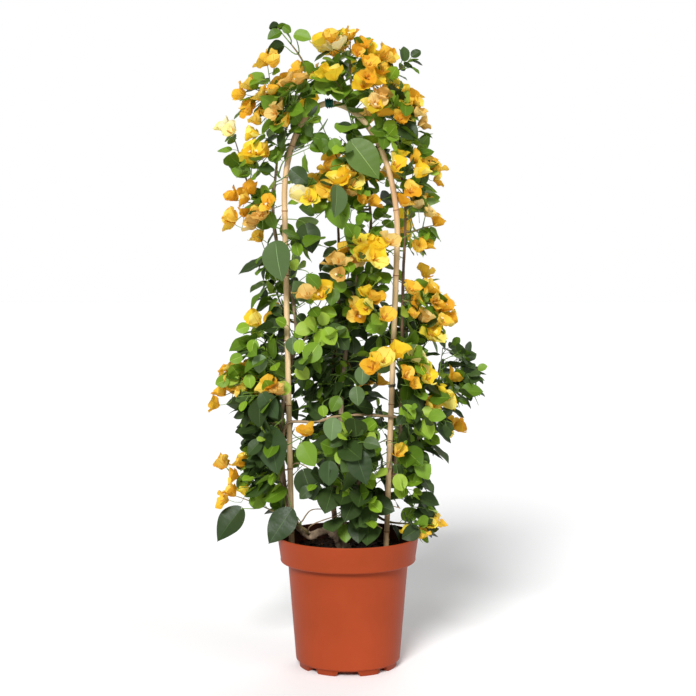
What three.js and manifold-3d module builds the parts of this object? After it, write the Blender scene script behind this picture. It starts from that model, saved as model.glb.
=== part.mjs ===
// A bougainvillea bush trained on a bent cane hoop, in its nursery pot.
// Millimetres, +Z up. The origin is on the pot's axis, at the level of its foot; the bush faces -Y.

import * as THREE from 'three';
import { mergeVertices } from 'three/addons/utils/BufferGeometryUtils.js';
import Module from 'manifold-3d';

const wasm = await Module();
wasm.setup();

// ---------------------------------------------------------------- driving dimensions

const GAP = 0.3; // clear distance between neighbouring solids
const SPRING_SLACK = 0.05; // added to the gap where one limb springs from another's side

const POT_HEIGHT = 180;
const RIM_RADIUS = 95;
const LIP_HEIGHT = 36;
const LIP_TAPER = 4; // how much narrower the lip is at its lower edge
const BODY_TOP_RADIUS = 82.6;
const BODY_FOOT_RADIUS = 71.6;
const FOOT_RING_RADIUS = 68;
const FOOT_RING_WIDTH = 8;
const FOOT_HEIGHT = 8;
const FOOT_STEP = 2; // height of the slope from the foot ring out to the body
const LIP_CHAMFER = 2.6;
const POT_WALL = 1.7;
const POT_SIDES = 36;
const WIDE_NOTCH = 33; // four wide drainage notches, one facing the front
const NARROW_NOTCH = 19; // and four narrow ones between them
const NOTCH_HEIGHT = 6.5;
const NOTCH_SLOPE = 2.5; // how far each end of a notch leans in towards its top

const SOIL_LEVEL = 158;
const STEM_BASE = SOIL_LEVEL + GAP;

const CANE_RADIUS = 3.9;
const CANE_PLANE = -6; // the hoop stands in this Y plane
const CANE_LEFT_FOOT = -77;
const CANE_RIGHT_FOOT = 52;
const CANE_LEFT_SHOULDER = [-86, 640]; // X and Z where each leg starts to bend
const CANE_RIGHT_SHOULDER = [67, 590];
const CANE_APEX = [-25, 768];
const TIE_WIDTH = 9;
const TIE_THICKNESS = 1.6;
const TIE_CLEARANCE = 1.5; // room inside a wire ring for the cane's curve
const CLIP_LEVEL = 386; // height of the wire clip on the right leg
const CLIP_WIDTH = 5;

const CROWN_TOP = 880;
const CROWN_HALF_WIDTH = 198;
const CROWN_HALF_DEPTH = 146;

const STEM_RADIUS = 1.9; // at the root of a spray's stem
const TWIG_RADIUS = 0.9;
const TWIG_END_RADIUS = 0.75;
const TWIG_STEP = 45; // length of a twig's straight stretches
const BRANCH_LEAN = 0.4; // how much of the stem's direction a side twig sets out with
const BRANCH_SHORT = 0.22; // how far down the stem from its end's nearest point it branches
const ROOT_SINK = 2; // how deep a leaf's root sits in its twig
const LEAF_SPACING = 72; // between a twig's side leaves
const BARE_END = 8; // length of twig left bare behind its last leaf
const SPACE_MARGIN = 30; // a spray's own space reaches this far past its twig ends
const GOLDEN_ANGLE = THREE.MathUtils.degToRad(137.5);

// What a twig carries at its end: blade length, width and thickness, and the blossom's colour
const LEAF_THICKNESS = 0.9;
const KINDS = {
  young: { length: 27, width: 18 },
  leaf: { length: 38, width: 26 },
  dark: { length: 44, width: 30 },
  large: { length: 62, width: 42 },
  orange: { length: 27, blossom: 0xf29a1e },
  yellow: { length: 29, blossom: 0xf7c93c },
  peach: { length: 26, blossom: 0xe8a268 },
  cream: { length: 27, blossom: 0xf2dba0 },
};

const UP = new THREE.Vector3(0, 0, 1);
const BARK = { color: 0x7a6550, roughness: 0.85 };
const CANE = { color: 0xc99a68, roughness: 0.55 };
const TIE = { color: 0x24402a, roughness: 0.5 };
const CLIP = { color: 0x2c2c28, roughness: 0.5 };
const GREEN = { color: 0x4c6e35, roughness: 0.6 };

// ---------------------------------------------------------------- limbs
// Each limb: where it springs from, its course on from there as [x, y, z] points, and its radius at
// the foot and at the tip. Only the trunk stands in the soil.

const LIMBS = {
  trunk: {
    course: [[-4, 0, 148], [-6, 1, 162], [-12, 1, 175], [-22, 1, 182]],
    radii: [9.5, 6.4],
    flare: 0.6,
  },
  bough_left_foot: {
    from: ['trunk', 1],
    course: [[-38, -3, 184], [-52, -2, 178], [-63, 2, 185]],
    radii: [6, 5.2],
  },
  bough_left: {
    from: ['bough_left_foot', 1],
    course: [
      [-76, 8, 204], [-86, 9, 230], [-91, 4, 280], [-91, 4, 345], [-82, 9, 400], [-71, 5, 452],
      [-76, 6, 505], [-93, 6, 560], [-102, 3, 625], [-97, 2, 683],
    ],
    radii: [4.6, 1.7],
  },
  bough_center: {
    from: ['trunk', 0.72],
    course: [
      [-6, 14, 196], [-6, 12, 235], [-11, 11, 300], [-8, 14, 370], [-3, 16, 432], [6, 18, 500],
      [20, 16, 560], [31, 12, 600], [27, 10, 655],
    ],
    radii: [4.4, 1.7],
  },
  bough_right_foot: {
    from: ['trunk', 0.5],
    course: [[14, 0, 186], [38, 3, 206], [57, 3, 246]],
    radii: [4, 3.3],
  },
  bough_right: {
    from: ['bough_right_foot', 1],
    course: [
      [71, 0, 310], [72, -1, 370], [74, 0, 450], [75, 0, 530], [77, 1, 580], [78, 2, 625], [73, 4, 672],
    ],
    radii: [3.2, 1.6],
  },
  bough_back: {
    from: ['trunk', 0.95],
    course: [[-20, 34, 212], [-14, 50, 300], [-20, 52, 400], [-12, 48, 510], [-14, 38, 620]],
    radii: [4, 1.7],
  },
  bough_front: {
    from: ['trunk', 0.68],
    course: [[4, -24, 196], [14, -44, 244], [10, -50, 310]],
    radii: [3.6, 1.9],
  },
  bough_cross: {
    from: ['bough_left', 0.27],
    course: [
      [-82, -16, 336], [-66, -15, 338], [-44, -15, 337], [-20, -14, 344], [20, -14, 347], [66, -15, 344],
    ],
    radii: [2.2, 1.5],
  },
  bough_top_left: {
    from: ['bough_left', 1],
    course: [[-92, 4, 715], [-76, 7, 752], [-58, 5, 796]],
    radii: [1.7, 1.4],
  },
  bough_top: {
    from: ['bough_center', 1],
    course: [[16, 9, 700], [11, 8, 745], [4, 4, 800]],
    radii: [1.7, 1.4],
  },
  bough_top_right: {
    from: ['bough_right', 1],
    course: [[68, 7, 715], [60, 7, 750], [55, 5, 790]],
    radii: [1.6, 1.4],
  },
};

// ---------------------------------------------------------------- sprays
// Each mass of foliage: its name, its limb, how far up that limb it springs, and its twig ends as
// [x, y, z, kind, lean]. The first twig end is the tip of the stem. A lean turns the last leaf's tip
// to that angle, in degrees anticlockwise from +X as seen from the front.

const SPRAYS = [
  ['foliage_crest_left', 'bough_top_left', 1, [
    [-90, 0, 866, 'young', 70], [-58, -14, 852, 'leaf', -20], [-102, 0, 842, 'leaf', -130],
  ]],
  ['foliage_top_left', 'bough_top_left', 0.72, [
    [-135, 0, 795, 'orange'], [-114, -12, 825, 'orange'], [-118, -22, 780, 'orange'],
    [-134, 6, 769, 'orange'], [-124, -10, 747, 'orange'],
  ]],
  ['foliage_arch_left', 'bough_top_left', 0.4, [
    [-86, -42, 742, 'orange'], [-81, -40, 793, 'peach'], [-92, -48, 763, 'peach'],
    [-68, -24, 810, 'orange'],
  ]],
  ['foliage_crest', 'bough_top', 1, [
    [4, -8, 861, 'orange'], [-34, -8, 851, 'yellow'], [-15, -26, 846, 'cream'], [21, -17, 845, 'orange'],
    [49, 0, 837, 'orange'], [28, -36, 819, 'orange'],
  ]],
  ['foliage_top_mid', 'bough_top', 0.8, [
    [-20, -47, 803, 'yellow'], [-48, -18, 807, 'peach'], [-11, -30, 780, 'leaf'],
  ]],
  ['foliage_dome', 'bough_top', 0.15, [
    [23, -45, 690, 'large', -52], [32, -21, 719, 'young'], [5, -33, 651, 'peach'], [-4, -32, 733, 'leaf'],
  ]],
  ['foliage_top_right', 'bough_top_right', 0.7, [
    [57, 0, 803, 'yellow'], [33, -50, 760, 'yellow'], [37, -28, 799, 'yellow'], [42, -38, 778, 'peach'],
    [92, 0, 780, 'orange'], [72, -27, 753, 'orange'], [95, -23, 756, 'peach'],
  ]],
  ['foliage_tip_right', 'bough_top_right', 1, [
    [88, 0, 826, 'young', 20], [72, 7, 835, 'young', 100], [90, -7, 812, 'young', -30],
  ]],
  ['foliage_left_high', 'bough_left', 0.9, [
    [-165, 0, 737, 'cream'], [-136, -9, 696, 'yellow'], [-114, -21, 703, 'orange'],
    [-157, 0, 645, 'orange'], [-131, -24, 654, 'orange'], [-158, -3, 617, 'orange'],
    [-127, -34, 613, 'peach'], [-114, -39, 633, 'orange'],
  ]],
  ['foliage_inner_left', 'bough_center', 0.94, [
    [-40, -32, 647, 'yellow'], [-63, -51, 642, 'cream'], [-62, -40, 666, 'leaf'],
  ]],
  ['foliage_arch', 'bough_center', 0.97, [
    [-21, -22, 683, 'orange'], [-11, -44, 665, 'yellow'], [5, -33, 677, 'orange'], [22, -28, 640, 'orange'],
  ]],
  ['foliage_right_high', 'bough_right', 0.95, [
    [122, 0, 684, 'orange'], [65, -49, 683, 'yellow'], [91, -17, 694, 'orange'], [97, -34, 676, 'yellow'],
    [87, -28, 655, 'orange'], [85, -26, 724, 'leaf'],
  ]],
  ['foliage_right_upper', 'bough_right', 0.82, [
    [123, 0, 611, 'orange'], [76, -39, 637, 'orange'], [110, -16, 623, 'peach'], [108, -17, 580, 'orange'],
    [58, -54, 584, 'peach'],
  ]],
  ['foliage_inner_low', 'bough_center', 0.84, [
    [20, -46, 581, 'yellow'], [-13, -34, 619, 'dark', -80], [-11, -57, 558, 'peach'],
    [38, -56, 576, 'yellow'], [9, -23, 571, 'peach'],
  ]],
  ['foliage_left_dark', 'bough_left', 0.78, [
    [-94, -56, 558, 'large', -85], [-131, -6, 548, 'dark'], [-47, -44, 584, 'leaf'],
    [-122, -15, 506, 'leaf'], [-76, -41, 592, 'young'],
  ]],
  ['foliage_right_mid', 'bough_right', 0.6, [
    [134, 0, 500, 'orange'], [85, -39, 521, 'orange'], [116, -16, 521, 'orange'], [130, -13, 479, 'orange'],
    [105, -35, 482, 'peach'], [118, -17, 457, 'yellow'],
  ]],
  ['foliage_mid', 'bough_center', 0.66, [
    [44, -44, 535, 'leaf'], [-11, -34, 527, 'leaf'], [34, -56, 509, 'orange'], [13, -34, 497, 'orange'],
    [49, -72, 486, 'orange'],
  ]],
  ['foliage_mid_left', 'bough_left', 0.52, [
    [-37, -56, 514, 'yellow'], [-54, -76, 514, 'peach'], [-49, -66, 473, 'young'], [-20, -58, 462, 'leaf'],
    [-58, -74, 424, 'leaf'],
  ]],
  ['foliage_left', 'bough_left', 0.42, [
    [-175, 0, 379, 'orange'], [-126, -14, 475, 'yellow'], [-146, -7, 442, 'leaf'],
    [-163, -6, 413, 'orange'], [-160, -14, 398, 'young'], [-125, -48, 419, 'leaf'],
  ]],
  ['foliage_right_front', 'bough_right', 0.4, [
    [64, -82, 437, 'yellow'], [45, -100, 427, 'yellow'], [90, -66, 430, 'cream'], [77, -85, 410, 'orange'],
    [106, -68, 403, 'yellow'], [111, -56, 366, 'orange'],
  ]],
  ['foliage_inner', 'bough_center', 0.5, [
    [17, 18, 398, 'dark'], [-46, 6, 432, 'dark'], [-24, 32, 384, 'dark'], [37, 14, 371, 'dark'],
  ]],
  ['foliage_right', 'bough_right', 0.28, [
    [184, 0, 411, 'young', 20], [182, 0, 374, 'young', -20], [168, 3, 426, 'young'],
    [145, -18, 402, 'orange'], [150, -8, 365, 'dark', -70], [125, -43, 382, 'yellow'],
    [137, -8, 434, 'leaf'], [137, -17, 331, 'leaf'],
  ]],
  ['foliage_left_mid', 'bough_left', 0.3, [
    [-144, -18, 388, 'orange'], [-108, -58, 394, 'orange'], [-91, -74, 388, 'peach'],
    [-148, -8, 356, 'leaf'], [-123, -41, 362, 'dark'], [-98, -81, 356, 'large', -60],
    [-127, -37, 315, 'dark'],
  ]],
  ['foliage_left_front', 'bough_left', 0.14, [
    [-99, -83, 306, 'large', -80], [-135, -18, 276, 'dark', -110], [-54, -88, 335, 'orange'],
    [-125, -38, 249, 'leaf'],
  ]],
  ['foliage_left_low', 'bough_left_foot', 0.75, [
    [-161, -3, 241, 'orange'], [-174, 0, 280, 'orange'], [-148, -12, 283, 'orange'],
    [-164, -12, 196, 'large', -130], [-99, -37, 241, 'leaf'], [-92, -40, 198, 'large', -125],
  ]],
  ['foliage_front', 'bough_front', 1, [
    [10, -106, 340, 'leaf'], [-27, -115, 318, 'young'], [5, -125, 312, 'dark'],
    [19, -130, 284, 'large', -70], [43, -96, 278, 'young'],
  ]],
  ['foliage_right_low', 'bough_right', 0.06, [
    [110, -42, 330, 'young'], [84, -85, 359, 'leaf'], [65, -95, 309, 'orange'], [125, -18, 297, 'dark'],
    [86, -77, 299, 'leaf'], [103, -47, 260, 'dark'], [71, -76, 259, 'young'],
  ]],
  ['foliage_rim_right', 'bough_right_foot', 0.55, [
    [125, -5, 200, 'orange'], [102, -27, 187, 'orange'], [84, -46, 190, 'leaf', -150],
    [111, -24, 232, 'dark'],
  ]],
  ['foliage_front_low', 'bough_front', 0.45, [
    [16, -93, 246, 'leaf'], [-29, -73, 280, 'young'], [13, -67, 218, 'dark'], [27, -49, 192, 'dark'],
    [-19, -65, 206, 'leaf'], [-52, -88, 262, 'dark', -70], [-25, -90, 244, 'dark'],
    [46, -52, 228, 'leaf'],
  ]],
  ['foliage_back_top_left', 'bough_top_left', 0.6, [
    [-95, 45, 800, 'orange'], [-70, 62, 770, 'yellow'], [-102, 48, 738, 'leaf'], [-58, 48, 822, 'young'],
  ]],
  ['foliage_back_top', 'bough_top', 0.9, [
    [-20, 42, 845, 'orange'], [15, 52, 820, 'yellow'], [-6, 64, 790, 'leaf'],
  ]],
  ['foliage_back_top_right', 'bough_top_right', 0.55, [
    [62, 50, 800, 'orange'], [80, 50, 760, 'orange'], [40, 66, 770, 'peach'], [72, 42, 725, 'leaf'],
  ]],
  ['foliage_back_high', 'bough_back', 1, [
    [-20, 92, 704, 'orange'], [15, 88, 680, 'yellow'], [-2, 104, 648, 'leaf'], [-48, 82, 668, 'orange'],
    [-60, 92, 610, 'leaf'],
  ]],
  ['foliage_back_right_high', 'bough_right', 0.86, [
    [106, 58, 650, 'orange'], [76, 80, 615, 'yellow'], [104, 60, 590, 'leaf'], [56, 78, 680, 'orange'],
  ]],
  ['foliage_back_left', 'bough_left', 0.58, [
    [-124, 72, 520, 'leaf'], [-100, 96, 482, 'orange'], [-80, 104, 545, 'dark'], [-126, 60, 590, 'orange'],
  ]],
  ['foliage_back_mid', 'bough_back', 0.72, [
    [6, 118, 560, 'orange'], [-34, 120, 524, 'leaf'], [18, 122, 492, 'dark'], [-22, 128, 466, 'yellow'],
  ]],
  ['foliage_back_right', 'bough_right', 0.5, [
    [112, 80, 540, 'orange'], [82, 100, 500, 'leaf'], [122, 76, 462, 'orange'], [70, 108, 446, 'dark'],
  ]],
  ['foliage_back_left_low', 'bough_left', 0.2, [
    [-146, 78, 400, 'orange'], [-110, 108, 376, 'large', -110], [-148, 66, 330, 'leaf'],
    [-92, 114, 430, 'leaf'], [-112, 84, 268, 'dark'],
  ]],
  ['foliage_back_low', 'bough_back', 0.36, [
    [-12, 132, 402, 'large', -80], [-52, 130, 356, 'leaf'], [34, 130, 384, 'orange'],
    [-30, 128, 300, 'dark'], [24, 128, 316, 'leaf'], [-40, 104, 238, 'dark'],
  ]],
  ['foliage_back_right_low', 'bough_right', 0.12, [
    [144, 80, 392, 'young'], [108, 108, 360, 'leaf'], [146, 62, 330, 'orange'], [80, 112, 312, 'dark'],
    [104, 74, 250, 'leaf'],
  ]],
];

// ---------------------------------------------------------------- solids

/** The closed solid that a geometry encloses. */
function solidOf(geometry) {
  const bare = geometry.clone();
  bare.deleteAttribute('normal');
  bare.deleteAttribute('uv');
  const merged = mergeVertices(bare);
  return new wasm.Manifold(new wasm.Mesh({
    numProp: 3,
    vertProperties: new Float32Array(merged.attributes.position.array),
    triVerts: new Uint32Array(merged.index.array),
  }));
}

function meshOf(name, solid, look) {
  const { vertProperties, triVerts } = solid.getMesh();
  const geometry = new THREE.BufferGeometry();
  geometry.setAttribute('position', new THREE.BufferAttribute(vertProperties, 3));
  geometry.setIndex(new THREE.BufferAttribute(triVerts, 1));
  geometry.computeVertexNormals();
  const mesh = new THREE.Mesh(geometry, new THREE.MeshStandardMaterial({ metalness: 0, ...look }));
  mesh.name = name;
  return mesh;
}

/** A solid of revolution about the Z axis; the profile is [radius, z] from axis to axis. */
function turned(profile, sides) {
  const points = profile.map(([radius, z]) => new THREE.Vector2(radius, z));
  return solidOf(new THREE.LatheGeometry(points, sides).rotateX(Math.PI / 2));
}

/** A round bar bent along a curve. radiusAt(t, angle) gives its radius from foot (0) to tip (1). */
function bentBar(curve, radiusAt, sides, steps) {
  const frames = curve.computeFrenetFrames(steps);
  const bar = new THREE.CylinderGeometry(1, 1, 1, sides, steps);
  const place = bar.attributes.position;
  for (let i = 0; i < place.count; i++) {
    const step = Math.round((place.getY(i) + 0.5) * steps);
    const across = new THREE.Vector2(place.getX(i), place.getZ(i));
    const radius = across.length() * radiusAt(step / steps, across.angle());
    across.setLength(radius);
    const point = curve.getPointAt(step / steps)
      .addScaledVector(frames.normals[step], across.x)
      .addScaledVector(frames.binormals[step], -across.y);
    place.setXYZ(i, point.x, point.y, point.z);
  }
  return bar;
}

/** A kite-shaped blade, thickest in the middle, from its root at the origin along +X. */
function blade(length, width, thickness) {
  const widestAt = 0.42;
  const shape = new THREE.OctahedronGeometry(1);
  const place = shape.attributes.position;
  for (let i = 0; i < place.count; i++) {
    const along = place.getX(i);
    const x = along === 0 ? widestAt * length : along > 0 ? length : 0;
    place.setXYZ(i, x, place.getY(i) * width / 2, place.getZ(i) * thickness / 2);
  }
  return shape;
}

/** A blossom of three bracts, joined and cupped, from its root at the origin along +X. */
function bloom(length, thickness) {
  const bracts = 3;
  const tip = { out: 0.8 * length, up: 0.55 * length };
  const notch = { out: 0.42 * length, up: 0.4 * length };
  const shape = new THREE.CylinderGeometry(0, 1, 1, 2 * bracts, 1);
  const place = shape.attributes.position;
  for (let i = 0; i < place.count; i++) {
    const across = new THREE.Vector2(place.getX(i), place.getZ(i));
    if (across.length() < 0.5) {
      place.setXYZ(i, place.getY(i) > 0 ? ROOT_SINK + 1.5 * thickness : 0, 0, 0);
      continue;
    }
    const corner = Math.round(across.angle() / (Math.PI / bracts)) % 2 === 0 ? tip : notch;
    across.setLength(corner.out);
    place.setXYZ(i, corner.up, across.y, across.x);
  }
  return shape;
}

/** The matrix that lays a blade's +X along a direction and turns its face to a normal. */
function layAlong(root, direction, facing) {
  const side = new THREE.Vector3().crossVectors(facing, direction).normalize();
  const normal = new THREE.Vector3().crossVectors(direction, side);
  return new THREE.Matrix4().makeBasis(direction, side, normal).setPosition(root);
}

/** A repeatable stream of numbers between 0 and 1. */
function seeded(seed) {
  let state = seed;
  return () => {
    state = (state + 0x6d2b79f5) | 0;
    let mixed = Math.imul(state ^ (state >>> 15), state | 1);
    mixed ^= mixed + Math.imul(mixed ^ (mixed >>> 7), mixed | 61);
    return ((mixed ^ (mixed >>> 14)) >>> 0) / 4294967296;
  };
}

const vector = ([x, y, z]) => new THREE.Vector3(x, y, z);

// ---------------------------------------------------------------- pot and soil

function makePot() {
  const lipFoot = POT_HEIGHT - LIP_HEIGHT;
  const lipFootRadius = RIM_RADIUS - LIP_TAPER;
  const ringInner = FOOT_RING_RADIUS - FOOT_RING_WIDTH;
  const outside = [
    [0, FOOT_HEIGHT], [ringInner, FOOT_HEIGHT], [ringInner, 0], [FOOT_RING_RADIUS, 0],
    [FOOT_RING_RADIUS, FOOT_HEIGHT], [BODY_FOOT_RADIUS, FOOT_HEIGHT + FOOT_STEP], [BODY_TOP_RADIUS, lipFoot],
    [lipFootRadius - LIP_CHAMFER, lipFoot], [lipFootRadius, lipFoot + LIP_CHAMFER], [RIM_RADIUS, POT_HEIGHT],
  ];
  const inside = potInside(0).reverse();
  const pot = turned([...outside, ...inside], POT_SIDES);
  return notchCutters().reduce((body, cutter) => body.subtract(cutter), pot);
}

/** The inner wall of the pot from the floor up, drawn in by a clearance. */
function potInside(clearance) {
  const lipFoot = POT_HEIGHT - LIP_HEIGHT;
  const floor = FOOT_HEIGHT + POT_WALL;
  return [
    [0, floor + clearance],
    [BODY_FOOT_RADIUS - POT_WALL - clearance, floor + clearance],
    [BODY_TOP_RADIUS - POT_WALL - clearance, lipFoot + POT_WALL + clearance],
    [RIM_RADIUS - LIP_TAPER - POT_WALL - clearance, lipFoot + POT_WALL + clearance + 2],
    [RIM_RADIUS - POT_WALL - clearance, POT_HEIGHT],
  ];
}

/** Trapezoid cutters through the foot ring, wide and narrow in turn, the first one facing the front. */
function notchCutters() {
  const reach = 20; // along the radius, past both faces of the ring
  return Array.from({ length: 8 }, (_, k) => {
    const half = (k % 2 ? NARROW_NOTCH : WIDE_NOTCH) / 2;
    const top = half - NOTCH_SLOPE;
    const corners = [
      [-half, -1], [half, -1], [half, 0], [top, NOTCH_HEIGHT], [-top, NOTCH_HEIGHT], [-half, 0],
    ];
    const outline = new THREE.Shape(corners.map(([x, y]) => new THREE.Vector2(x, y)));
    const cutter = new THREE.ExtrudeGeometry(outline, { depth: reach, bevelEnabled: false })
      .rotateX(Math.PI / 2)
      .translate(0, -(FOOT_RING_RADIUS - FOOT_RING_WIDTH / 2 - reach / 2), 0)
      .rotateZ(k * Math.PI / 4);
    return solidOf(cutter);
  });
}

function makeSoil() {
  const wall = potInside(GAP);
  const [lowRadius, low] = wall[3];
  const [highRadius, high] = wall[4];
  const edge = THREE.MathUtils.mapLinear(SOIL_LEVEL, low, high, lowRadius, highRadius);
  return turned([...wall.slice(0, 4), [edge, SOIL_LEVEL], [0, SOIL_LEVEL]], POT_SIDES);
}

// ---------------------------------------------------------------- cane hoop

const inPlane = ([x, z]) => new THREE.Vector3(x, CANE_PLANE, z);

/** A quarter of the hoop's arch, from a shoulder up to the apex. */
class ArchQuarter extends THREE.Curve {
  constructor(shoulder, apex) {
    super();
    this.shoulder = shoulder;
    this.apex = apex;
  }

  getPoint(t) {
    const angle = t * Math.PI / 2;
    const x = this.apex[0] + (this.shoulder[0] - this.apex[0]) * Math.cos(angle);
    const z = this.shoulder[1] + (this.apex[1] - this.shoulder[1]) * Math.sin(angle);
    return inPlane([x, z]);
  }
}

function caneLeg(foot, [x, z]) {
  const belowShoulder = 0.5;
  return new THREE.LineCurve3(inPlane([foot, STEM_BASE]), inPlane([x, z - belowShoulder]));
}

function caneSolid(curve, steps) {
  return solidOf(bentBar(curve, () => CANE_RADIUS, 8, steps));
}

/** A ring of wire wound round a cane at a point, its hole clear of the cane. */
function wireRing(width, centre, tilt) {
  const inner = CANE_RADIUS + TIE_CLEARANCE;
  const outer = inner + TIE_THICKNESS;
  const half = width / 2;
  const section = [[inner, -half], [outer, -half], [outer, half], [inner, half], [inner, -half]]
    .map(([radius, z]) => new THREE.Vector2(radius, z));
  const ring = new THREE.LatheGeometry(section, 8).rotateX(Math.PI / 2).rotateY(tilt);
  return solidOf(ring.translate(centre.x, centre.y, centre.z));
}

function makeHoop() {
  const leftArch = new ArchQuarter(CANE_LEFT_SHOULDER, CANE_APEX);
  const apexGap = [CANE_APEX[0] + 2 * GAP, CANE_APEX[1]];
  const rightArch = new ArchQuarter(CANE_RIGHT_SHOULDER, apexGap);
  const leftLeg = caneLeg(CANE_LEFT_FOOT, CANE_LEFT_SHOULDER);
  const rightLeg = caneLeg(CANE_RIGHT_FOOT, CANE_RIGHT_SHOULDER);
  const tieAt = inPlane([CANE_APEX[0] + GAP, CANE_APEX[1]]);
  const clipAt = rightLeg.getPoint((CLIP_LEVEL - STEM_BASE) / (CANE_RIGHT_SHOULDER[1] - STEM_BASE));
  return {
    cane_left: [caneSolid(leftLeg, 2), CANE],
    cane_left_bend: [caneSolid(leftArch, 8), CANE],
    cane_right_bend: [caneSolid(rightArch, 9), CANE],
    cane_right: [caneSolid(rightLeg, 2), CANE],
    cane_tie: [wireRing(TIE_WIDTH, tieAt, Math.PI / 2), TIE],
    cane_clip: [wireRing(CLIP_WIDTH, clipAt, rightLeg.getTangent(0).x), CLIP],
  };
}

// ---------------------------------------------------------------- trunk and boughs

/** A limb's centre line, from just clear of the limb that it springs from. */
function limbCurve(name) {
  const { from, course } = LIMBS[name];
  const points = course.map(vector);
  if (from) {
    const { start, heading } = springPoint(...from, points[0]);
    points.unshift(start, start.clone().addScaledVector(heading, LIMBS[name].radii[0]));
  }
  return new THREE.CatmullRomCurve3(points, false, 'centripetal');
}

/** A limb's radius from foot (0) to tip (1); a flare swells the foot into root lobes. */
function limbRadius(name, t, angle = 0) {
  const { radii: [foot, tip], flare = 0 } = LIMBS[name];
  const rootLobes = 5;
  const swell = flare * Math.exp(-t / 0.28) * (1 + 0.25 * Math.cos(rootLobes * angle));
  return (foot + (tip - foot) * t) * (1 + swell);
}

/** Where something springs from a limb, just clear of the bark, and which way it sets out. */
function springPoint(limb, at, toward) {
  const curve = limbCurve(limb);
  const point = curve.getPointAt(at);
  const tangent = curve.getTangentAt(at);
  if (at === 1) return { start: point.addScaledVector(tangent, GAP), heading: tangent };
  const heading = toward.clone().sub(point);
  heading.addScaledVector(tangent, -heading.dot(tangent)).normalize();
  return { start: point.addScaledVector(heading, limbRadius(limb, at) + GAP + SPRING_SLACK), heading };
}

function makeLimb(name) {
  const { course, flare } = LIMBS[name];
  const sides = flare ? 12 : 5;
  const steps = flare ? 8 : 2 * course.length;
  return solidOf(bentBar(limbCurve(name), (t, angle) => limbRadius(name, t, angle), sides, steps));
}

/** The trunk is cut flat where it leaves the soil. */
function makeTrunk() {
  const side = 200;
  const aboveSoil = new THREE.BoxGeometry(side, side, side).translate(0, 0, STEM_BASE + side / 2);
  return makeLimb('trunk').intersect(solidOf(aboveSoil));
}

// ---------------------------------------------------------------- foliage

/** Everything that a new twig or leaf has to stay clear of, kept with the name of its node. */
const placed = [];

function addPlaced(node, solid) {
  placed.push({ node, solid, box: solid.boundingBox() });
}

function boxesMeet(a, b) {
  return [0, 1, 2].every((k) => a.min[k] <= b.max[k] && b.min[k] <= a.max[k]);
}

function isClear(node, solid) {
  const box = solid.boundingBox();
  return !placed.some((other) => other.node !== node && boxesMeet(box, other.box)
    && !solid.intersect(other.solid).isEmpty());
}

/** A tapering twig from a start along its heading, and over to its end. */
function makeTwig(start, heading, end, radius) {
  const span = start.distanceTo(end);
  const leave = start.clone().addScaledVector(heading, 0.35 * span);
  const arrive = end.clone().lerp(start, 0.3).addScaledVector(UP, 0.06 * span);
  const curve = new THREE.CubicBezierCurve3(start, leave, arrive, end);
  const steps = Math.max(2, Math.round(curve.getLength() / TWIG_STEP));
  const radiusAt = (t) => radius + (TWIG_END_RADIUS - radius) * t;
  return { curve, steps, solid: (grown) => solidOf(bentBar(curve, (t) => radiusAt(t) + grown, 3, steps)) };
}

/** A point on a twig's straight stretches, and the twig's direction there. */
function onTwig({ curve, steps }, t) {
  const step = Math.min(steps - 1, Math.floor(t * steps));
  const from = curve.getPointAt(step / steps);
  const to = curve.getPointAt((step + 1) / steps);
  return { point: from.clone().lerp(to, t * steps - step), tangent: to.sub(from).normalize() };
}

/** A side twig leaves the stem somewhat short of the stem's nearest point to its end. */
function branchPlace(stem, end) {
  const away = (t) => onTwig(stem, t).point.distanceTo(end);
  const tries = Array.from({ length: 9 }, (_, k) => (k + 1) / 10);
  const nearest = tries.reduce((best, t) => (away(t) < away(best) ? t : best));
  return onTwig(stem, Math.max(0.12, nearest - BRANCH_SHORT));
}

/** The direction out of the crown's middle at a point. */
function outwardAt(point) {
  return new THREE.Vector3(point.x / CROWN_HALF_WIDTH, point.y / CROWN_HALF_DEPTH, 0.08).normalize();
}

/** How the blade at a twig's end hangs: with a lean given, or outward and drooping. */
function endDirection([x, y, z, kind, lean], random) {
  if (lean !== undefined) {
    const angle = THREE.MathUtils.degToRad(lean);
    return new THREE.Vector3(Math.cos(angle), -0.25, Math.sin(angle)).normalize();
  }
  const droop = kind === 'young' ? 0.25 : -0.55;
  return outwardAt(new THREE.Vector3(x, y, z))
    .add(new THREE.Vector3(random() - 0.5, random() - 0.5, droop + 0.4 * (random() - 0.5))).normalize();
}

/** Which way a blade's face turns: outward, upward and a little to the front. */
function facingAt(point, random) {
  const tilt = new THREE.Vector3(random() - 0.5, random() - 0.8, 0.35 + 0.5 * random());
  return outwardAt(point).add(tilt).normalize();
}

/** One blade, and the same blade grown by the gap, to test its clearance with. */
function bladePair(root, direction, facing, { length, width }, scale = 1) {
  const lay = layAlong(root, direction, facing);
  const grown = blade(length * scale + GAP, width * scale + 2 * GAP, LEAF_THICKNESS + 2 * GAP);
  return [blade(length * scale, width * scale, LEAF_THICKNESS).applyMatrix4(lay), grown.applyMatrix4(lay)];
}

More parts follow.
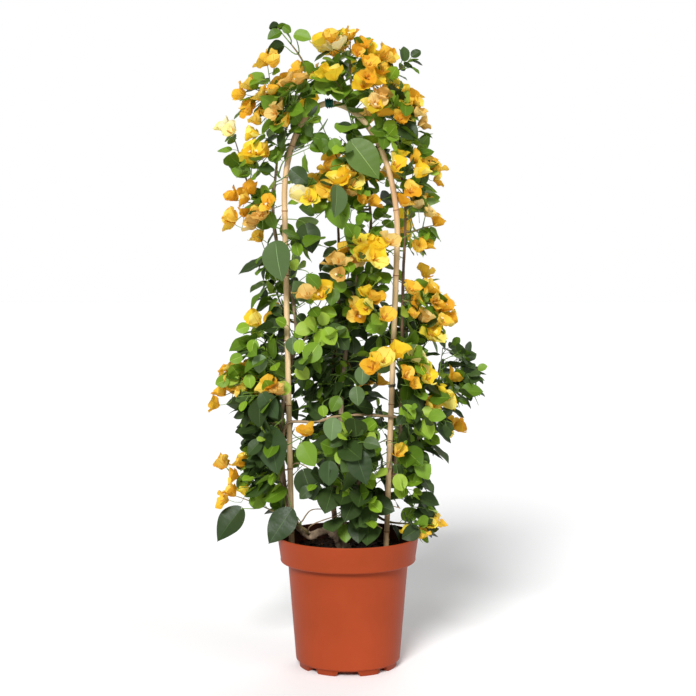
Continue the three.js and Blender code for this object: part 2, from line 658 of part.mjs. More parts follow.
/** The twigs of one spray: the stem to the first end, and a side twig to each of the others. */
function growTwigs([name, limb, at, ends], index) {
  const random = seeded(index + 1);
  const plans = ends.map((end) => {
    const kind = KINDS[end[3]];
    const direction = kind.blossom ? outwardAt(vector(end)).add(UP).normalize() : endDirection(end, random);
    const setBack = kind.blossom ? 0.35 * kind.length : 0.5 * kind.length;
    return { kind, direction, centre: vector(end), root: vector(end).addScaledVector(direction, -setBack) };
  });
  const { start, heading } = springPoint(limb, at, plans[0].root);
  const stem = makeTwig(start, heading, plans[0].root, STEM_RADIUS);
  const twigs = plans.map((plan, k) => {
    if (k === 0) return { ...plan, ...stem };
    const { point, tangent } = branchPlace(stem, plan.root);
    const across = plan.root.clone().sub(point);
    across.addScaledVector(tangent, -across.dot(tangent)).normalize();
    const setsOut = across.addScaledVector(tangent, BRANCH_LEAN).normalize();
    return { ...plan, ...makeTwig(point, setsOut, plan.root, TWIG_RADIUS) };
  }).filter((twig) => {
    if (!isClear(name, twig.solid(GAP))) return false;
    addPlaced(name, twig.solid(0));
    return true;
  });
  return { name, twigs, random };
}

/** The spray's own space, and the whole crown's. */
function spaceOf(twigs) {
  const marks = twigs.flatMap(({ curve, centre }) => [curve.getPoint(0), centre]);
  const space = new THREE.Box3().setFromPoints(marks);
  const crown = new THREE.Box3(
    new THREE.Vector3(-CROWN_HALF_WIDTH, -CROWN_HALF_DEPTH, STEM_BASE + 1),
    new THREE.Vector3(CROWN_HALF_WIDTH, CROWN_HALF_DEPTH, CROWN_TOP),
  );
  return space.expandByScalar(SPACE_MARGIN).intersect(crown);
}

function staysIn(space, geometry) {
  geometry.computeBoundingBox();
  return space.containsBox(geometry.boundingBox);
}

/** Leaves along a twig, turned by the golden angle from one to the next. */
function sideBlades(twig, random) {
  const blades = [];
  const like = twig.kind.blossom ? KINDS.leaf : twig.kind;
  const length = twig.curve.getLength();
  let turn = 2 * Math.PI * random();
  for (let reach = 0.45 * LEAF_SPACING; reach < length - BARE_END; reach += LEAF_SPACING) {
    const { point, tangent } = onTwig(twig, reach / length);
    const side = new THREE.Vector3().crossVectors(tangent, UP).normalize().applyAxisAngle(tangent, turn);
    const direction = side.addScaledVector(tangent, 0.5).addScaledVector(outwardAt(point), 0.5).normalize();
    const scale = 0.75 + 0.3 * random();
    blades.push(bladePair(point, direction, facingAt(point, random), like, scale));
    turn += GOLDEN_ANGLE;
  }
  return blades;
}

/** What a twig carries at its end: one leaf or one blossom. */
function endBlade(twig, random) {
  const { kind, direction, root } = twig;
  const sunk = root.clone().addScaledVector(onTwig(twig, 1).tangent, -ROOT_SINK);
  if (!kind.blossom) return bladePair(sunk, direction, facingAt(root, random), kind);
  const across = new THREE.Vector3().crossVectors(direction, UP).normalize();
  const lay = layAlong(sunk, direction, across.applyAxisAngle(direction, 2 * Math.PI * random()));
  const bloomGrown = (by) => bloom(kind.length + 2 * by, LEAF_THICKNESS + 2 * by).applyMatrix4(lay);
  return [bloomGrown(0), bloomGrown(GAP)];
}

/** The spray's twigs with their leaves fused on; a leaf that would cross anything else is left out. */
function growSpray({ name, twigs, random }) {
  const space = spaceOf(twigs);
  const bars = twigs.map((twig) => twig.solid(0));
  const leaves = [];
  twigs.forEach((twig, k) => {
    for (const [exact, grown] of [endBlade(twig, random), ...sideBlades(twig, random)]) {
      const leaf = solidOf(exact);
      const others = [...bars.filter((_, other) => other !== k), ...leaves];
      const crosses = others.some((other) => !other.intersect(leaf).isEmpty());
      if (!crosses && staysIn(space, exact) && isClear(name, solidOf(grown))) leaves.push(leaf);
    }
  });
  leaves.forEach((leaf) => addPlaced(name, leaf));
  return wholeBody(wasm.Manifold.union([...bars, ...leaves]));
}

/** The one connected body: loose scraps are dropped, and hollows sealed by fusing are filled. */
function wholeBody(solid) {
  return solid.decompose().reduce((largest, body) => (body.volume() > largest.volume() ? body : largest));
}

function lookOf(ends) {
  const colours = ends.map(([, , , kind]) => KINDS[kind].blossom).filter(Boolean);
  return colours.length * 2 > ends.length ? { color: colours[0], roughness: 0.7 } : GREEN;
}

// ---------------------------------------------------------------- assembly

const bush = new THREE.Group();
bush.name = 'bougainvillea_bush';

function addNode(name, solid, look) {
  bush.add(meshOf(name, solid, look));
  addPlaced(name, solid);
}

addNode('pot', makePot(), { color: 0xb5502f, roughness: 0.45 });
addNode('soil', makeSoil(), { color: 0x2c211b, roughness: 0.95 });
for (const [name, [solid, look]] of Object.entries(makeHoop())) addNode(name, solid, look);
for (const name of Object.keys(LIMBS)) addNode(name, name === 'trunk' ? makeTrunk() : makeLimb(name), BARK);

const sprays = SPRAYS.map(growTwigs);
sprays.forEach((spray, k) => {
  bush.add(meshOf(spray.name, growSpray(spray), lookOf(SPRAYS[k][3])));
});

export default bush;
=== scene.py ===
"""The looks of a potted bougainvillea bush on a bent cane hoop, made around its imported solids.

The bush is drawn in millimetres, as it is measured, and MM turns each finished mesh into metres.
Its front faces -Y, and +Z is up. The boughs, the ends of each mass of foliage and the leaves that
stand out are placed one by one. All that grows from them follows seeded rules.
"""

import math

import bpy
import numpy as np
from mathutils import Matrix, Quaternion, Vector, noise


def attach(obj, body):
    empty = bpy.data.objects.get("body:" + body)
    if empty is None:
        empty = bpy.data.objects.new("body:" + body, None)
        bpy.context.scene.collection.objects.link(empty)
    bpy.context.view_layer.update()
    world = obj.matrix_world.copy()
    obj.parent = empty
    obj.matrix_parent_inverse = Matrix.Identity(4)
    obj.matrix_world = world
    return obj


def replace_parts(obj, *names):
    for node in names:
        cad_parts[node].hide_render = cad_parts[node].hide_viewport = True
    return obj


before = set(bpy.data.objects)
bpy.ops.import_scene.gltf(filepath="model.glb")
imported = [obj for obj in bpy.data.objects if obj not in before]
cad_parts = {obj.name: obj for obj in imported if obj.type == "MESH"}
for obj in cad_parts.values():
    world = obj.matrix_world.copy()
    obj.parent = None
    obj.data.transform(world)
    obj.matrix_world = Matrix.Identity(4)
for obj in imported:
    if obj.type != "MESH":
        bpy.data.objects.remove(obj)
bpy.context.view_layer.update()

MM = 0.001
UP = Vector((0, 0, 1))
FULL_TURN = 2 * math.pi
GOLDEN_ANGLE = math.radians(137.5)

# ---- sizes of the made things

POT_HEIGHT = 180
RIM_RADIUS = 97
LIP_HEIGHT = 36
LIP_TAPER = 4
LIP_ROUND = 3.2
RIM_WALL = 2.2
BODY_TOP_RADIUS = 82.6
BODY_FOOT_RADIUS = 71.6
FOOT_RING_RADIUS = 68
FOOT_RING_WIDTH = 8
FOOT_HEIGHT = 8
WIDE_NOTCH = 33
NARROW_NOTCH = 19
NOTCH_COUNT = 8
NOTCH_HEIGHT = 6.5
NOTCH_SLOPE = 2.5

SOIL_LEVEL = 158
SOIL_RADIUS = 92.3
SOIL_GRAIN = 0.06
SOIL_LUMPS = [(1, 2.2), (3.3, 1.2), (9, 0.6)]  # each with its fineness and its height
SOIL_CRUMBS = 420
SOIL_SEED = 41

CANE_RADIUS = 3.9
CANE_PLANE = -6
CANE_LEFT_FOOT = -77
CANE_RIGHT_FOOT = 52
CANE_LEFT_SHOULDER = (-86, 640)
CANE_RIGHT_SHOULDER = (67, 590)
CANE_APEX = (-25, 768)
CANE_JOINT = 88  # from one node ring of the cane to the next
CANE_FIRST_JOINT = 31
RING_WIDTH = 1.6  # of the swollen ring at a joint
TIE_WIDTH = 11
TIE_TURNS = (6, 3)  # of the wire's lower and upper layer
TIE_WIRES = (0.85, 0.8)  # their radii
CLIP_LEVEL = 386
CLIP_WIDTH = 4.5
CLIP_TURNS = 2
CLIP_WIRE = 0.7
WIRE_CLEARANCE = 0.3  # between the cane and the wire

# ---- shape of the bush

CROWN_TOP = 880
CROWN_HALF_WIDTH = 198
CROWN_HALF_DEPTH = 146

# The stem and boughs by the names of their nodes, a bough without its "bough_": the limb and the place
# along it that a bough springs from, its course, and its radius at foot and tip.
LIMBS = {
    "trunk": {
        "course": [[-4, 0, 148], [-6, 1, 162], [-12, 1, 175], [-22, 1, 182]],
        "radii": [9.5, 6.4],
        "flare": 0.6,
    },
    "left_foot": {
        "from": ["trunk", 1],
        "course": [[-38, -3, 184], [-52, -2, 178], [-63, 2, 185]],
        "radii": [6, 5.2],
    },
    "left": {
        "from": ["left_foot", 1],
        "course": [
            [-76, 8, 204], [-86, 9, 230], [-91, 4, 280], [-91, 4, 345], [-82, 9, 400], [-71, 5, 452],
            [-76, 6, 505], [-93, 6, 560], [-102, 3, 625], [-97, 2, 683],
        ],
        "radii": [4.6, 1.7],
    },
    "center": {
        "from": ["trunk", 0.72],
        "course": [
            [-6, 14, 196], [-6, 12, 235], [-11, 11, 300], [-8, 14, 370], [-3, 16, 432], [6, 18, 500],
            [20, 16, 560], [31, 12, 600], [27, 10, 655],
        ],
        "radii": [4.4, 1.7],
    },
    "right_foot": {
        "from": ["trunk", 0.5],
        "course": [[14, 0, 186], [38, 3, 206], [57, 3, 246]],
        "radii": [4, 3.3],
    },
    "right": {
        "from": ["right_foot", 1],
        "course": [
            [71, 0, 310], [72, -1, 370], [74, 0, 450], [75, 0, 530], [77, 1, 580], [78, 2, 625],
            [73, 4, 672],
        ],
        "radii": [3.2, 1.6],
    },
    "back": {
        "from": ["trunk", 0.95],
        "course": [[-20, 34, 212], [-14, 50, 300], [-20, 52, 400], [-12, 48, 510], [-14, 38, 620]],
        "radii": [4, 1.7],
    },
    "front": {
        "from": ["trunk", 0.68],
        "course": [[4, -24, 196], [14, -44, 244], [10, -50, 310]],
        "radii": [3.6, 1.9],
    },
    "cross": {
        "from": ["left", 0.27],
        "course": [
            [-82, -16, 336], [-66, -15, 338], [-44, -15, 337], [-20, -14, 344], [20, -14, 347],
            [66, -15, 344],
        ],
        "radii": [2.2, 1.5],
    },
    "top_left": {
        "from": ["left", 1],
        "course": [[-92, 4, 715], [-76, 7, 752], [-58, 5, 796]],
        "radii": [1.7, 1.4],
    },
    "top": {
        "from": ["center", 1],
        "course": [[16, 9, 700], [11, 8, 745], [4, 4, 800]],
        "radii": [1.7, 1.4],
    },
    "top_right": {
        "from": ["right", 1],
        "course": [[68, 7, 715], [60, 7, 750], [55, 5, 790]],
        "radii": [1.6, 1.4],
    },
}

# The masses of foliage by the names of their nodes without "foliage_": the limb and the place along it
# that its stem springs from, and its ends [x, y, z, kind]. A blossom can add how many trios of bracts
# it has. A leaf can add its lean in degrees from level, seen from the front, its share of the usual
# size, and the tones that it takes.
SPRAYS = [
    ["crest_left", "top_left", 1, [
        [-87, 0, 872, "young", 22, 0.85, "leaf"], [-61, -14, 856, "leaf", -16, 1.1, "leaf"],
        [-97, 0, 842, "leaf", 204, 1.2, "dark"], [-100, -4, 859, "leaf", 207, 0.95, "leaf"],
        [-81, -4, 866, "young", -40, 0.85, "leaf"], [-101, 2, 871, "young", 200, 0.9, "dark"],
    ]],
    ["top_left", "top_left", 0.72, [
        [-135, 0, 795, "orange"], [-114, -12, 825, "orange"], [-118, -22, 780, "orange"],
        [-134, 6, 769, "orange"], [-124, -10, 747, "orange"],
    ]],
    ["arch_left", "top_left", 0.4, [
        [-86, -42, 742, "orange"], [-81, -40, 793, "peach"], [-92, -48, 763, "peach"],
        [-68, -24, 810, "orange"],
    ]],
    ["crest", "top", 1, [
        [4, -8, 861, "orange"], [-34, -8, 851, "yellow"], [-15, -26, 846, "cream"],
        [21, -17, 845, "orange"], [49, 0, 837, "orange"], [28, -36, 819, "orange"],
    ]],
    ["top_mid", "top", 0.8, [
        [-20, -47, 803, "yellow"], [-48, -18, 807, "peach"], [-11, -30, 780, "leaf"],
    ]],
    ["dome", "top", 0.15, [
        [23, -45, 690, "large", -52], [32, -21, 719, "young"], [5, -33, 651, "peach"],
        [-4, -32, 733, "leaf"],
    ]],
    ["top_right", "top_right", 0.7, [
        [57, 0, 803, "yellow"], [33, -50, 760, "yellow"], [37, -28, 799, "yellow"], [42, -38, 778, "peach"],
        [92, 0, 780, "orange"], [72, -27, 753, "orange"], [95, -23, 756, "peach"],
    ]],
    ["tip_right", "top_right", 1, [
        [88, 0, 826, "young", 20], [72, 7, 835, "young", 100], [90, -7, 812, "young", -30],
    ]],
    ["left_high", "left", 0.9, [
        [-165, 0, 737, "cream"], [-136, -9, 696, "yellow"], [-114, -21, 703, "orange"],
        [-157, 0, 645, "orange"], [-131, -24, 654, "orange"], [-158, -3, 617, "orange"],
        [-127, -34, 613, "peach"], [-114, -39, 633, "orange"],
    ]],
    ["inner_left", "center", 0.94, [
        [-40, -32, 647, "yellow"], [-63, -51, 642, "cream"], [-62, -40, 666, "leaf", -40, 0.8, "dark"],
    ]],
    ["arch", "center", 0.97, [
        [-21, -22, 683, "orange"], [-11, -44, 665, "yellow"], [5, -33, 677, "orange"],
        [22, -28, 640, "orange"],
    ]],
    ["right_high", "right", 0.95, [
        [122, 0, 684, "orange"], [65, -49, 683, "yellow"], [91, -17, 694, "orange"],
        [97, -34, 676, "yellow"], [87, -28, 655, "orange"], [85, -26, 724, "leaf"],
    ]],
    ["right_upper", "right", 0.82, [
        [123, 0, 611, "orange"], [76, -39, 637, "orange"], [110, -16, 623, "peach"],
        [108, -17, 580, "orange"], [58, -54, 584, "peach"],
    ]],
    ["inner_low", "center", 0.84, [
        [20, -46, 581, "yellow"], [-13, -34, 619, "dark", -80], [-11, -57, 558, "peach"],
        [38, -56, 576, "yellow"], [9, -23, 571, "peach"],
    ]],
    ["left_dark", "left", 0.78, [
        [-94, -56, 560, "dark", -85, 1.24, "clear"], [-131, -6, 548, "dark"], [-47, -44, 584, "leaf"],
        [-122, -15, 506, "leaf"], [-76, -41, 592, "young"],
    ]],
    ["right_mid", "right", 0.6, [
        [134, 0, 500, "orange"], [85, -39, 521, "orange"], [116, -16, 521, "orange"],
        [130, -13, 479, "orange"], [105, -35, 482, "peach"], [118, -17, 457, "yellow"],
    ]],
    ["mid", "center", 0.66, [
        [44, -44, 535, "leaf"], [-11, -34, 527, "leaf"], [34, -56, 509, "orange"], [13, -34, 497, "orange"],
        [49, -72, 486, "orange"],
    ]],
    ["mid_left", "left", 0.52, [
        [-37, -56, 514, "yellow"], [-54, -76, 514, "peach"], [-49, -66, 473, "young"],
        [-20, -58, 462, "leaf"], [-58, -74, 424, "leaf"],
    ]],
    ["left", "left", 0.42, [
        [-175, 0, 379, "orange"], [-126, -14, 475, "yellow", 1], [-146, -7, 442, "leaf"],
        [-163, -6, 413, "orange"], [-160, -14, 398, "young"], [-125, -48, 419, "leaf"],
    ]],
    ["right_front", "right", 0.4, [
        [64, -82, 437, "yellow"], [45, -100, 427, "yellow"], [90, -66, 430, "cream"],
        [77, -85, 410, "orange"], [106, -68, 403, "yellow"], [111, -56, 366, "orange"],
    ]],
    # the inner mass's leaves behind the boughs are all dark: painted shade inside the bush
    ["inner", "center", 0.5, [
        [17, 18, 398, "dark"], [-46, 6, 432, "dark"], [-24, 32, 384, "dark"], [37, 14, 371, "dark"],
    ]],
    ["right", "right", 0.28, [
        [184, 0, 411, "young", 20], [182, 0, 374, "young", -20], [168, 3, 426, "young"],
        [145, -18, 402, "orange", 1], [150, -8, 365, "dark", -70], [125, -43, 382, "yellow"],
        [137, -8, 434, "leaf"], [137, -17, 331, "leaf"],
    ]],
    ["left_mid", "left", 0.3, [
        [-144, -18, 388, "orange"], [-108, -58, 394, "orange"], [-91, -74, 388, "peach"],
        [-148, -8, 356, "leaf"], [-123, -41, 362, "dark"], [-98, -81, 356, "large", -60, 0.64],
        [-127, -37, 315, "dark"],
    ]],
    ["left_front", "left", 0.14, [
        [-99, -83, 306, "large", -80], [-135, -18, 276, "dark", -110], [-54, -88, 335, "orange", 1],
        [-125, -38, 249, "leaf"],
    ]],
    ["left_low", "left_foot", 0.75, [
        [-161, -3, 241, "orange", 3], [-174, 0, 280, "orange", 2], [-148, -12, 283, "orange"],
        [-164, -12, 196, "large", -130, 1, "deep"], [-99, -37, 241, "leaf"], [-92, -40, 198, "large", -125],
    ]],
    ["front", "front", 1, [
        [10, -106, 340, "leaf"], [-27, -115, 318, "young", None, 0.9, "leaf"], [5, -125, 312, "dark"],
        [19, -130, 284, "large", -70, 0.75], [43, -96, 278, "young"],
    ]],
    ["right_low", "right", 0.06, [
        [110, -42, 330, "young"], [84, -85, 359, "leaf"], [65, -95, 309, "orange"], [125, -18, 297, "dark"],
        [86, -77, 299, "leaf"], [103, -47, 260, "dark"], [71, -76, 259, "young"],
    ]],
    ["rim_right", "right_foot", 0.55, [
        [125, -5, 200, "orange"], [102, -27, 187, "orange"], [84, -46, 190, "leaf", -150],
        [111, -24, 232, "dark"],
    ]],
    ["front_low", "front", 0.45, [
        [16, -93, 246, "leaf"], [-29, -73, 280, "young"], [13, -67, 218, "dark"], [27, -49, 192, "dark"],
        [-19, -65, 206, "leaf"], [-52, -88, 262, "dark", -70], [-25, -90, 244, "dark"],
        [46, -52, 228, "leaf"],
    ]],
    ["back_top_left", "top_left", 0.6, [
        [-95, 45, 800, "orange"], [-70, 62, 770, "yellow"], [-102, 48, 738, "leaf"],
        [-58, 48, 822, "young"],
    ]],
    ["back_top", "top", 0.9, [
        [-20, 42, 845, "orange"], [15, 52, 820, "yellow"], [-6, 64, 790, "leaf"],
    ]],
    ["back_top_right", "top_right", 0.55, [
        [62, 50, 800, "orange"], [80, 50, 760, "orange"], [40, 66, 770, "peach"], [72, 42, 725, "leaf"],
    ]],
    ["back_high", "back", 1, [
        [-20, 92, 704, "orange"], [15, 88, 680, "yellow"], [-2, 104, 648, "leaf"], [-48, 82, 668, "orange"],
        [-60, 92, 610, "leaf"],
    ]],
    ["back_right_high", "right", 0.86, [
        [106, 58, 650, "orange"], [76, 80, 615, "yellow"], [104, 60, 590, "leaf"], [56, 78, 680, "orange"],
    ]],
    ["back_left", "left", 0.58, [
        [-124, 72, 520, "leaf"], [-100, 96, 482, "orange"], [-80, 104, 545, "dark"],
        [-126, 60, 590, "orange"],
    ]],
    ["back_mid", "back", 0.72, [
        [6, 118, 560, "orange"], [-34, 120, 524, "leaf"], [18, 122, 492, "dark"], [-22, 128, 466, "yellow"],
    ]],
    ["back_right", "right", 0.5, [
        [112, 80, 540, "orange"], [82, 100, 500, "leaf"], [122, 76, 462, "orange"], [70, 108, 446, "dark"],
    ]],
    ["back_left_low", "left", 0.2, [
        [-146, 78, 400, "orange"], [-110, 108, 376, "large", -110], [-148, 66, 330, "leaf"],
        [-92, 114, 430, "leaf"], [-112, 84, 268, "dark"],
    ]],
    ["back_low", "back", 0.36, [
        [-12, 132, 402, "large", -80], [-52, 130, 356, "leaf"], [34, 130, 384, "orange"],
        [-30, 128, 300, "dark"], [24, 128, 316, "leaf"], [-40, 104, 238, "dark"],
    ]],
    ["back_right_low", "right", 0.12, [
        [144, 80, 392, "young"], [108, 108, 360, "leaf"], [146, 62, 330, "orange"], [80, 112, 312, "dark"],
        [104, 74, 250, "leaf"],
    ]],
]

# Where the bush lets the white behind it through, as seen from the front: [low X, high X, low Z, high Z]
OPENINGS = [
    [-65, -4, 584, 622], [-24, 3, 719, 757], [-65, -24, 536, 551], [41, 57, 363, 403], [-51, -24, 686, 706],
    [-41, -8, 424, 440], [-25, -4, 349, 374], [-66, -50, 480, 502], [-66, -18, 262, 280],
    [-66, -18, 200, 212], [71, 126, 535, 562], [77, 125, 595, 618], [-40, 4, 740, 763],
    [-58, -33, 608, 620], [-62, -8, 160, 222], [-40, -20, 764, 782],
]

# How far the small leaves reach, as seen from the front: [Z, low X, high X]
CROWN_EDGE = [
    [175, -80, 112], [236, -143, 124], [297, -147, 133], [338, -148, 155], [366, -152, 172],
    [392, -152, 190], [400, -180, 190], [441, -172, 182], [462, -150, 130], [503, -136, 142],
    [515, -117, 138], [536, -117, 132], [541, -138, 128], [562, -138, 122], [567, -116, 120],
    [605, -114, 122], [626, -128, 128], [667, -142, 118], [708, -172, 124], [749, -172, 102],
    [790, -150, 104], [831, -118, 102], [872, -108, 32],
]

# Leafy shoots too fine for the solids: [limb, place along it, a point on the way, end, kind of leaf]
SHOOTS = [
    ["top_left", 0.12, [-80, -17, 724], [-40, -22, 752], "leaf"],
    ["top_left", 0.5, [-74, -17, 764], [-48, -24, 780], "leaf"],
    ["left", 0.98, [-86, -17, 690], [-50, -22, 708], "leaf"],
    ["center", 0.99, [0, -22, 690], [-26, -28, 714], "leaf"],
    ["center", 0.95, [-20, -4, 706], [-42, -12, 754], "leaf"],
    ["top", 0.45, [2, -16, 752], [-10, -26, 782], "leaf"],
    ["top_right", 0.2, [66, -18, 716], [48, -36, 722], "young"],
    ["right", 0.86, [64, 8, 612], [44, 12, 600], "leaf"],
    ["right", 0.76, [63, 9, 572], [42, 14, 556], "dark"],
    ["right", 0.67, [62, 8, 534], [40, 12, 520], "dark"],
    ["right", 0.58, [62, 8, 496], [42, 14, 486], "leaf"],
    ["right", 0.5, [60, 8, 462], [42, 12, 450], "dark"],
    ["right", 0.24, [58, 8, 348], [38, 12, 336], "dark"],
    ["right", 0.16, [56, 8, 312], [34, 12, 300], "leaf"],
    ["right", 0.08, [52, 8, 276], [32, 14, 264], "dark"],
    ["right_foot", 0.9, [44, 12, 240], [30, 20, 232], "dark"],
    ["right", 0.2, [58, 6, 332], [40, 0, 322], "leaf"], ["right", 0.12, [55, 6, 294], [38, 2, 284], "leaf"],
    ["right_foot", 1, [50, 8, 256], [35, 6, 246], "leaf"],
    ["right_foot", 0.75, [44, 8, 226], [32, 10, 214], "dark"],
    ["left", 0.3, [-74, -4, 318], [-50, -12, 306], "leaf"],
    ["left", 0.25, [-74, -2, 300], [-52, -10, 290], "young"],
    # dark leaves deep in the middle of the bush: painted shade
    ["center", 0.52, [-24, 6, 428], [-42, 0, 416], "dark"],
    ["center", 0.46, [-24, 4, 400], [-40, -4, 386], "dark"],
    ["center", 0.42, [-18, 20, 376], [-30, 26, 360], "dark"],
    ["top_left", 0.7, [-66, -10, 786], [-34, -22, 806], "leaf"],
    ["top", 0.6, [0, -10, 770], [-26, -24, 800], "leaf"],
]

# Single leaves that stand out: [limb, place along it, the foot of the leaf, its lean and turn in
# degrees, its share of the usual size, its kind, and the tones that it takes if not those of its kind]
LONE_LEAVES = [
    ["left", 0.86, [-57, -22, 604], -75, 0, 0.95, "dark"],
    ["left", 0.84, [-75, -20, 584], -40, 0, 0.68, "young", "leaf"],
    ["left", 0.82, [-60, -28, 588], -70, 0, 0.55, "young"],
    ["left", 0.72, [-51, -30, 537], -70, 20, 0.62, "leaf"],
    ["center", 0.98, [-15, -56, 654], -88, 50, 1.0, "dark", "clear"],
    ["center", 0.8, [-14, -24, 546], 178, 65, 0.62, "leaf", "dark"],
    ["center", 0.84, [-16, -24, 570], 205, 60, 0.55, "leaf", "dark"],
    ["top_right", 0.4, [67, -22, 740], -38, 10, 0.95, "leaf", "dark"],
    ["top_right", 0.36, [64, -30, 738], 200, 15, 0.75, "young"],
    ["top_right", 0.3, [50, -30, 727], 172, 20, 0.62, "leaf"],
    ["top_right", 0.28, [50, -30, 725], -98, 20, 0.6, "leaf"],
    ["top_right", 0.28, [52, -30, 726], -25, 10, 0.7, "young"],
    ["center", 1, [5, -24, 731], 165, 25, 0.6, "leaf", "dark"],
    ["top_left", 0.1, [-35, -30, 718], -80, 15, 0.58, "leaf"],
    ["top_left", 0.1, [-20, -30, 718], -72, -10, 0.58, "leaf"],
    ["left", 0.96, [-64, -30, 676], -85, 0, 0.52, "leaf"],
    ["center", 0.6, [-50, -58, 470], 200, 10, 0.85, "young"],
    ["center", 0.6, [-58, -50, 474], -20, 0, 0.6, "young", "leaf"],
    ["center", 0.58, [-30, -66, 467], -60, 0, 0.95, "young"],
    ["center", 0.57, [-34, -60, 462], -110, 15, 0.8, "young"],
    ["center", 0.55, [-40, -70, 446], -125, 10, 1.1, "young"],
    ["center", 0.62, [-30, -52, 472], 110, 0, 0.7, "young"],
    ["center", 0.72, [-3, -50, 521], 165, 0, 0.62, "leaf"],
    ["left", 0.62, [-39, -56, 522], 130, 10, 0.65, "leaf"],
    ["center", 0.7, [-19, -56, 520], -100, 0, 0.66, "leaf"],
    ["center", 0.6, [41, -52, 469], 195, 0, 0.72, "young"],
    ["center", 0.6, [-15, -54, 466], -30, 10, 0.56, "leaf"],
    ["center", 0.5, [20, -66, 416], -95, 0, 0.68, "leaf", "clear"],
    ["center", 0.46, [11, -74, 390], -85, -15, 0.68, "leaf", "clear"],
    ["left", 0.45, [-68, -54, 414], -40, 0, 0.82, "young"],
    ["left", 0.4, [-77, -60, 389], 190, 10, 0.85, "young"],
    ["center", 0.4, [-34, -70, 365], -80, 0, 0.56, "young"],
    ["center", 0.42, [-12, -66, 376], -120, 0, 0.6, "leaf"],
    ["left", 0.5, [-75, -24, 452], -90, 0, 0.62, "leaf", "clear"],
    ["left", 0.54, [-84, -30, 471], 150, 0, 0.6, "young"],
    ["left", 0.42, [-162, -20, 396], 200, 0, 0.72, "young"],
    ["left", 0.5, [-134, -30, 468], 195, 10, 0.66, "young"],
    ["left", 0.46, [-143, -34, 428], 200, 0, 0.66, "young"],
    ["left", 0.44, [-117, -44, 430], -95, 0, 0.66, "leaf", "clear"],
    ["left", 0.47, [-126, -38, 450], -100, 0, 0.7, "young"],
    ["left", 0.38, [-133, -46, 404], -80, 0, 0.7, "young"],
    ["right", 0.28, [72, -86, 366], -55, 0, 0.95, "young"],
    ["right", 0.24, [100, -74, 346], -70, 0, 0.72, "leaf", "young"],
    ["right", 0.1, [66, -76, 274], -75, 0, 0.85, "young"],
    ["front", 0.95, [-19, -124, 354], -95, 0, 0.78, "leaf", "clear"],
    ["front", 0.6, [-25, -110, 296], -90, 0, 0.85, "leaf", "large"],
]

# Thin twigs without leaves: [limb, place along it, a point on the way, end]
BARE_TWIGS = [
    ["center", 0.08, [30, -30, 232], [70, -36, 223]], ["right", 0.02, [60, -20, 311], [48, -32, 313]],
    ["right", 0.04, [80, -18, 314], [90, -32, 318]], ["front", 0.8, [22, -44, 296], [40, -38, 312]],
    ["left_foot", 0.8, [-48, -34, 200], [-4, -46, 218]], ["front", 0.12, [24, -36, 206], [46, -45, 197]],
    ["left", 0.18, [-70, -8, 280], [-38, -18, 264]], ["left", 0.02, [-50, -12, 216], [-16, -20, 217]],
]

# ---- how it grows

GAP = 0.35  # between a limb's bark and the point where a spray's stem was laid out from
STEM_RADIUS = 1.9
TWIG_RADIUS = 0.9
TWIG_END_RADIUS = 0.55
SHOOT_RADIUS = 1.1
BARE_RADIUS = 1.15
SPUR_RADIUS = 0.7
STALK_RADIUS = 0.45
STALK_LENGTH = (5, 11)
BRANCH_LEAN = 0.4  # how much a side twig follows its stem as it sets out
BRANCH_SHORT = 0.22  # how far before its end's nearest point it sets out, in stem lengths
THICK_BOUGH = 4.2  # foot radius from which a bough has rough bark
WOODY_BOUGH = 2.5  # and from which it isn't green any more

TRUNK_SKIN = 0.94  # of its radius, so that the bark's knuckles reach out to it
TRUNK_BARK = 0.6  # how far the bark's ridges stand out, in radii
THICK_BARK = 0.3
THIN_BARK = 0.2
BARE_BARK = 0.22
BARK_GRAIN = Vector((0.5, 0.5, 0.11))  # the ridges run up the limb
FINE_RIDGES = (3.1, 0.35)  # how much finer and lower the second ridges are
KNUCKLES = 0.5
FLARE_REACH = 0.28  # of the trunk's length
ROOTS = 5
ROOT_DEPTH = 0.25

# Of each round bar: its sides, and the distance from one ring of points to the next
RINGS = {
    "trunk": (28, 1.6), "bough": (12, 3), "thin bough": (8, 3), "bare twig": (7, 3),
    "stem": (7, 5), "twig": (6, 5), "shoot": (6, 4), "lone": (5, 5), "spur": (5, 6), "stalk": (4, 5),
    "flower": (5, 3), "cane": (20, 1.5), "wire": (6, 1.2),
}

SPACE_MARGIN = 30  # that a spray's small leaves may reach past its ends
FILL_SPACE = (170, 730)  # heights between which the boughs' own leaves stay
FILL_FOOT = 196  # height from which the boughs have leaves of their own
BACK_OF_SHOOTS = 30  # how far behind the pot's axis the leaves of fine shoots reach
CANE_BARE_TOP = 725  # height up to which no small leaf hides the front of the cane
TRIO_CLEARANCE = 15  # from the cane to the middle of a further trio of bracts
DENSE_TOP = 430  # height up to which the bush is dense
AIRY_FOOT = 600  # height from which it is airy
LIT_LARGE_FOOT = 650  # height above which a large leaf takes paler tones: painted light on the lit top of the bush

SHOOT_SPACING = ([200, 320, 460, 600, 680], [15, 9.5, 9.5, 11.5, 9])  # along a twig, at these heights
FILL_SPACING = ([200, 320, 460, 600, 660], [22, 6.5, 7.5, 16, 9])  # along a bough
FRESH_SHARE = ([300, 360, 520, 620], [0.14, 0.4, 0.4, 0.2])  # of the side leaves, at these heights

# Two shares each: in the dense bush, and in its airy top
SPUR_SHARE = (0.42, 0.168)  # of the side shoots, that are finer twigs and not single leaves
LEAF_SHRINK = (1, 0.78)
FILL_SHRINK = (1, 0.7)
DARK_FILL = (0.75, 0.35)  # of a bough's own leaves, of the dark kind: more low in the bush, partly painted shade
DARKENED = (0.5, 0.08)  # of the green leaves, that take dark tones: with age, and more in the dense lower bush as painted shade
LIGHTENED = (0, 0.8)  # of the dark leaves, that keep green tones: none in the dense lower bush, where their dark is painted shade

SHADED_GREEN = 0.25  # share of a shaded spray's leaves that keep green tones
AGED_YOUNG = 0.15  # share of the young leaves that have turned green

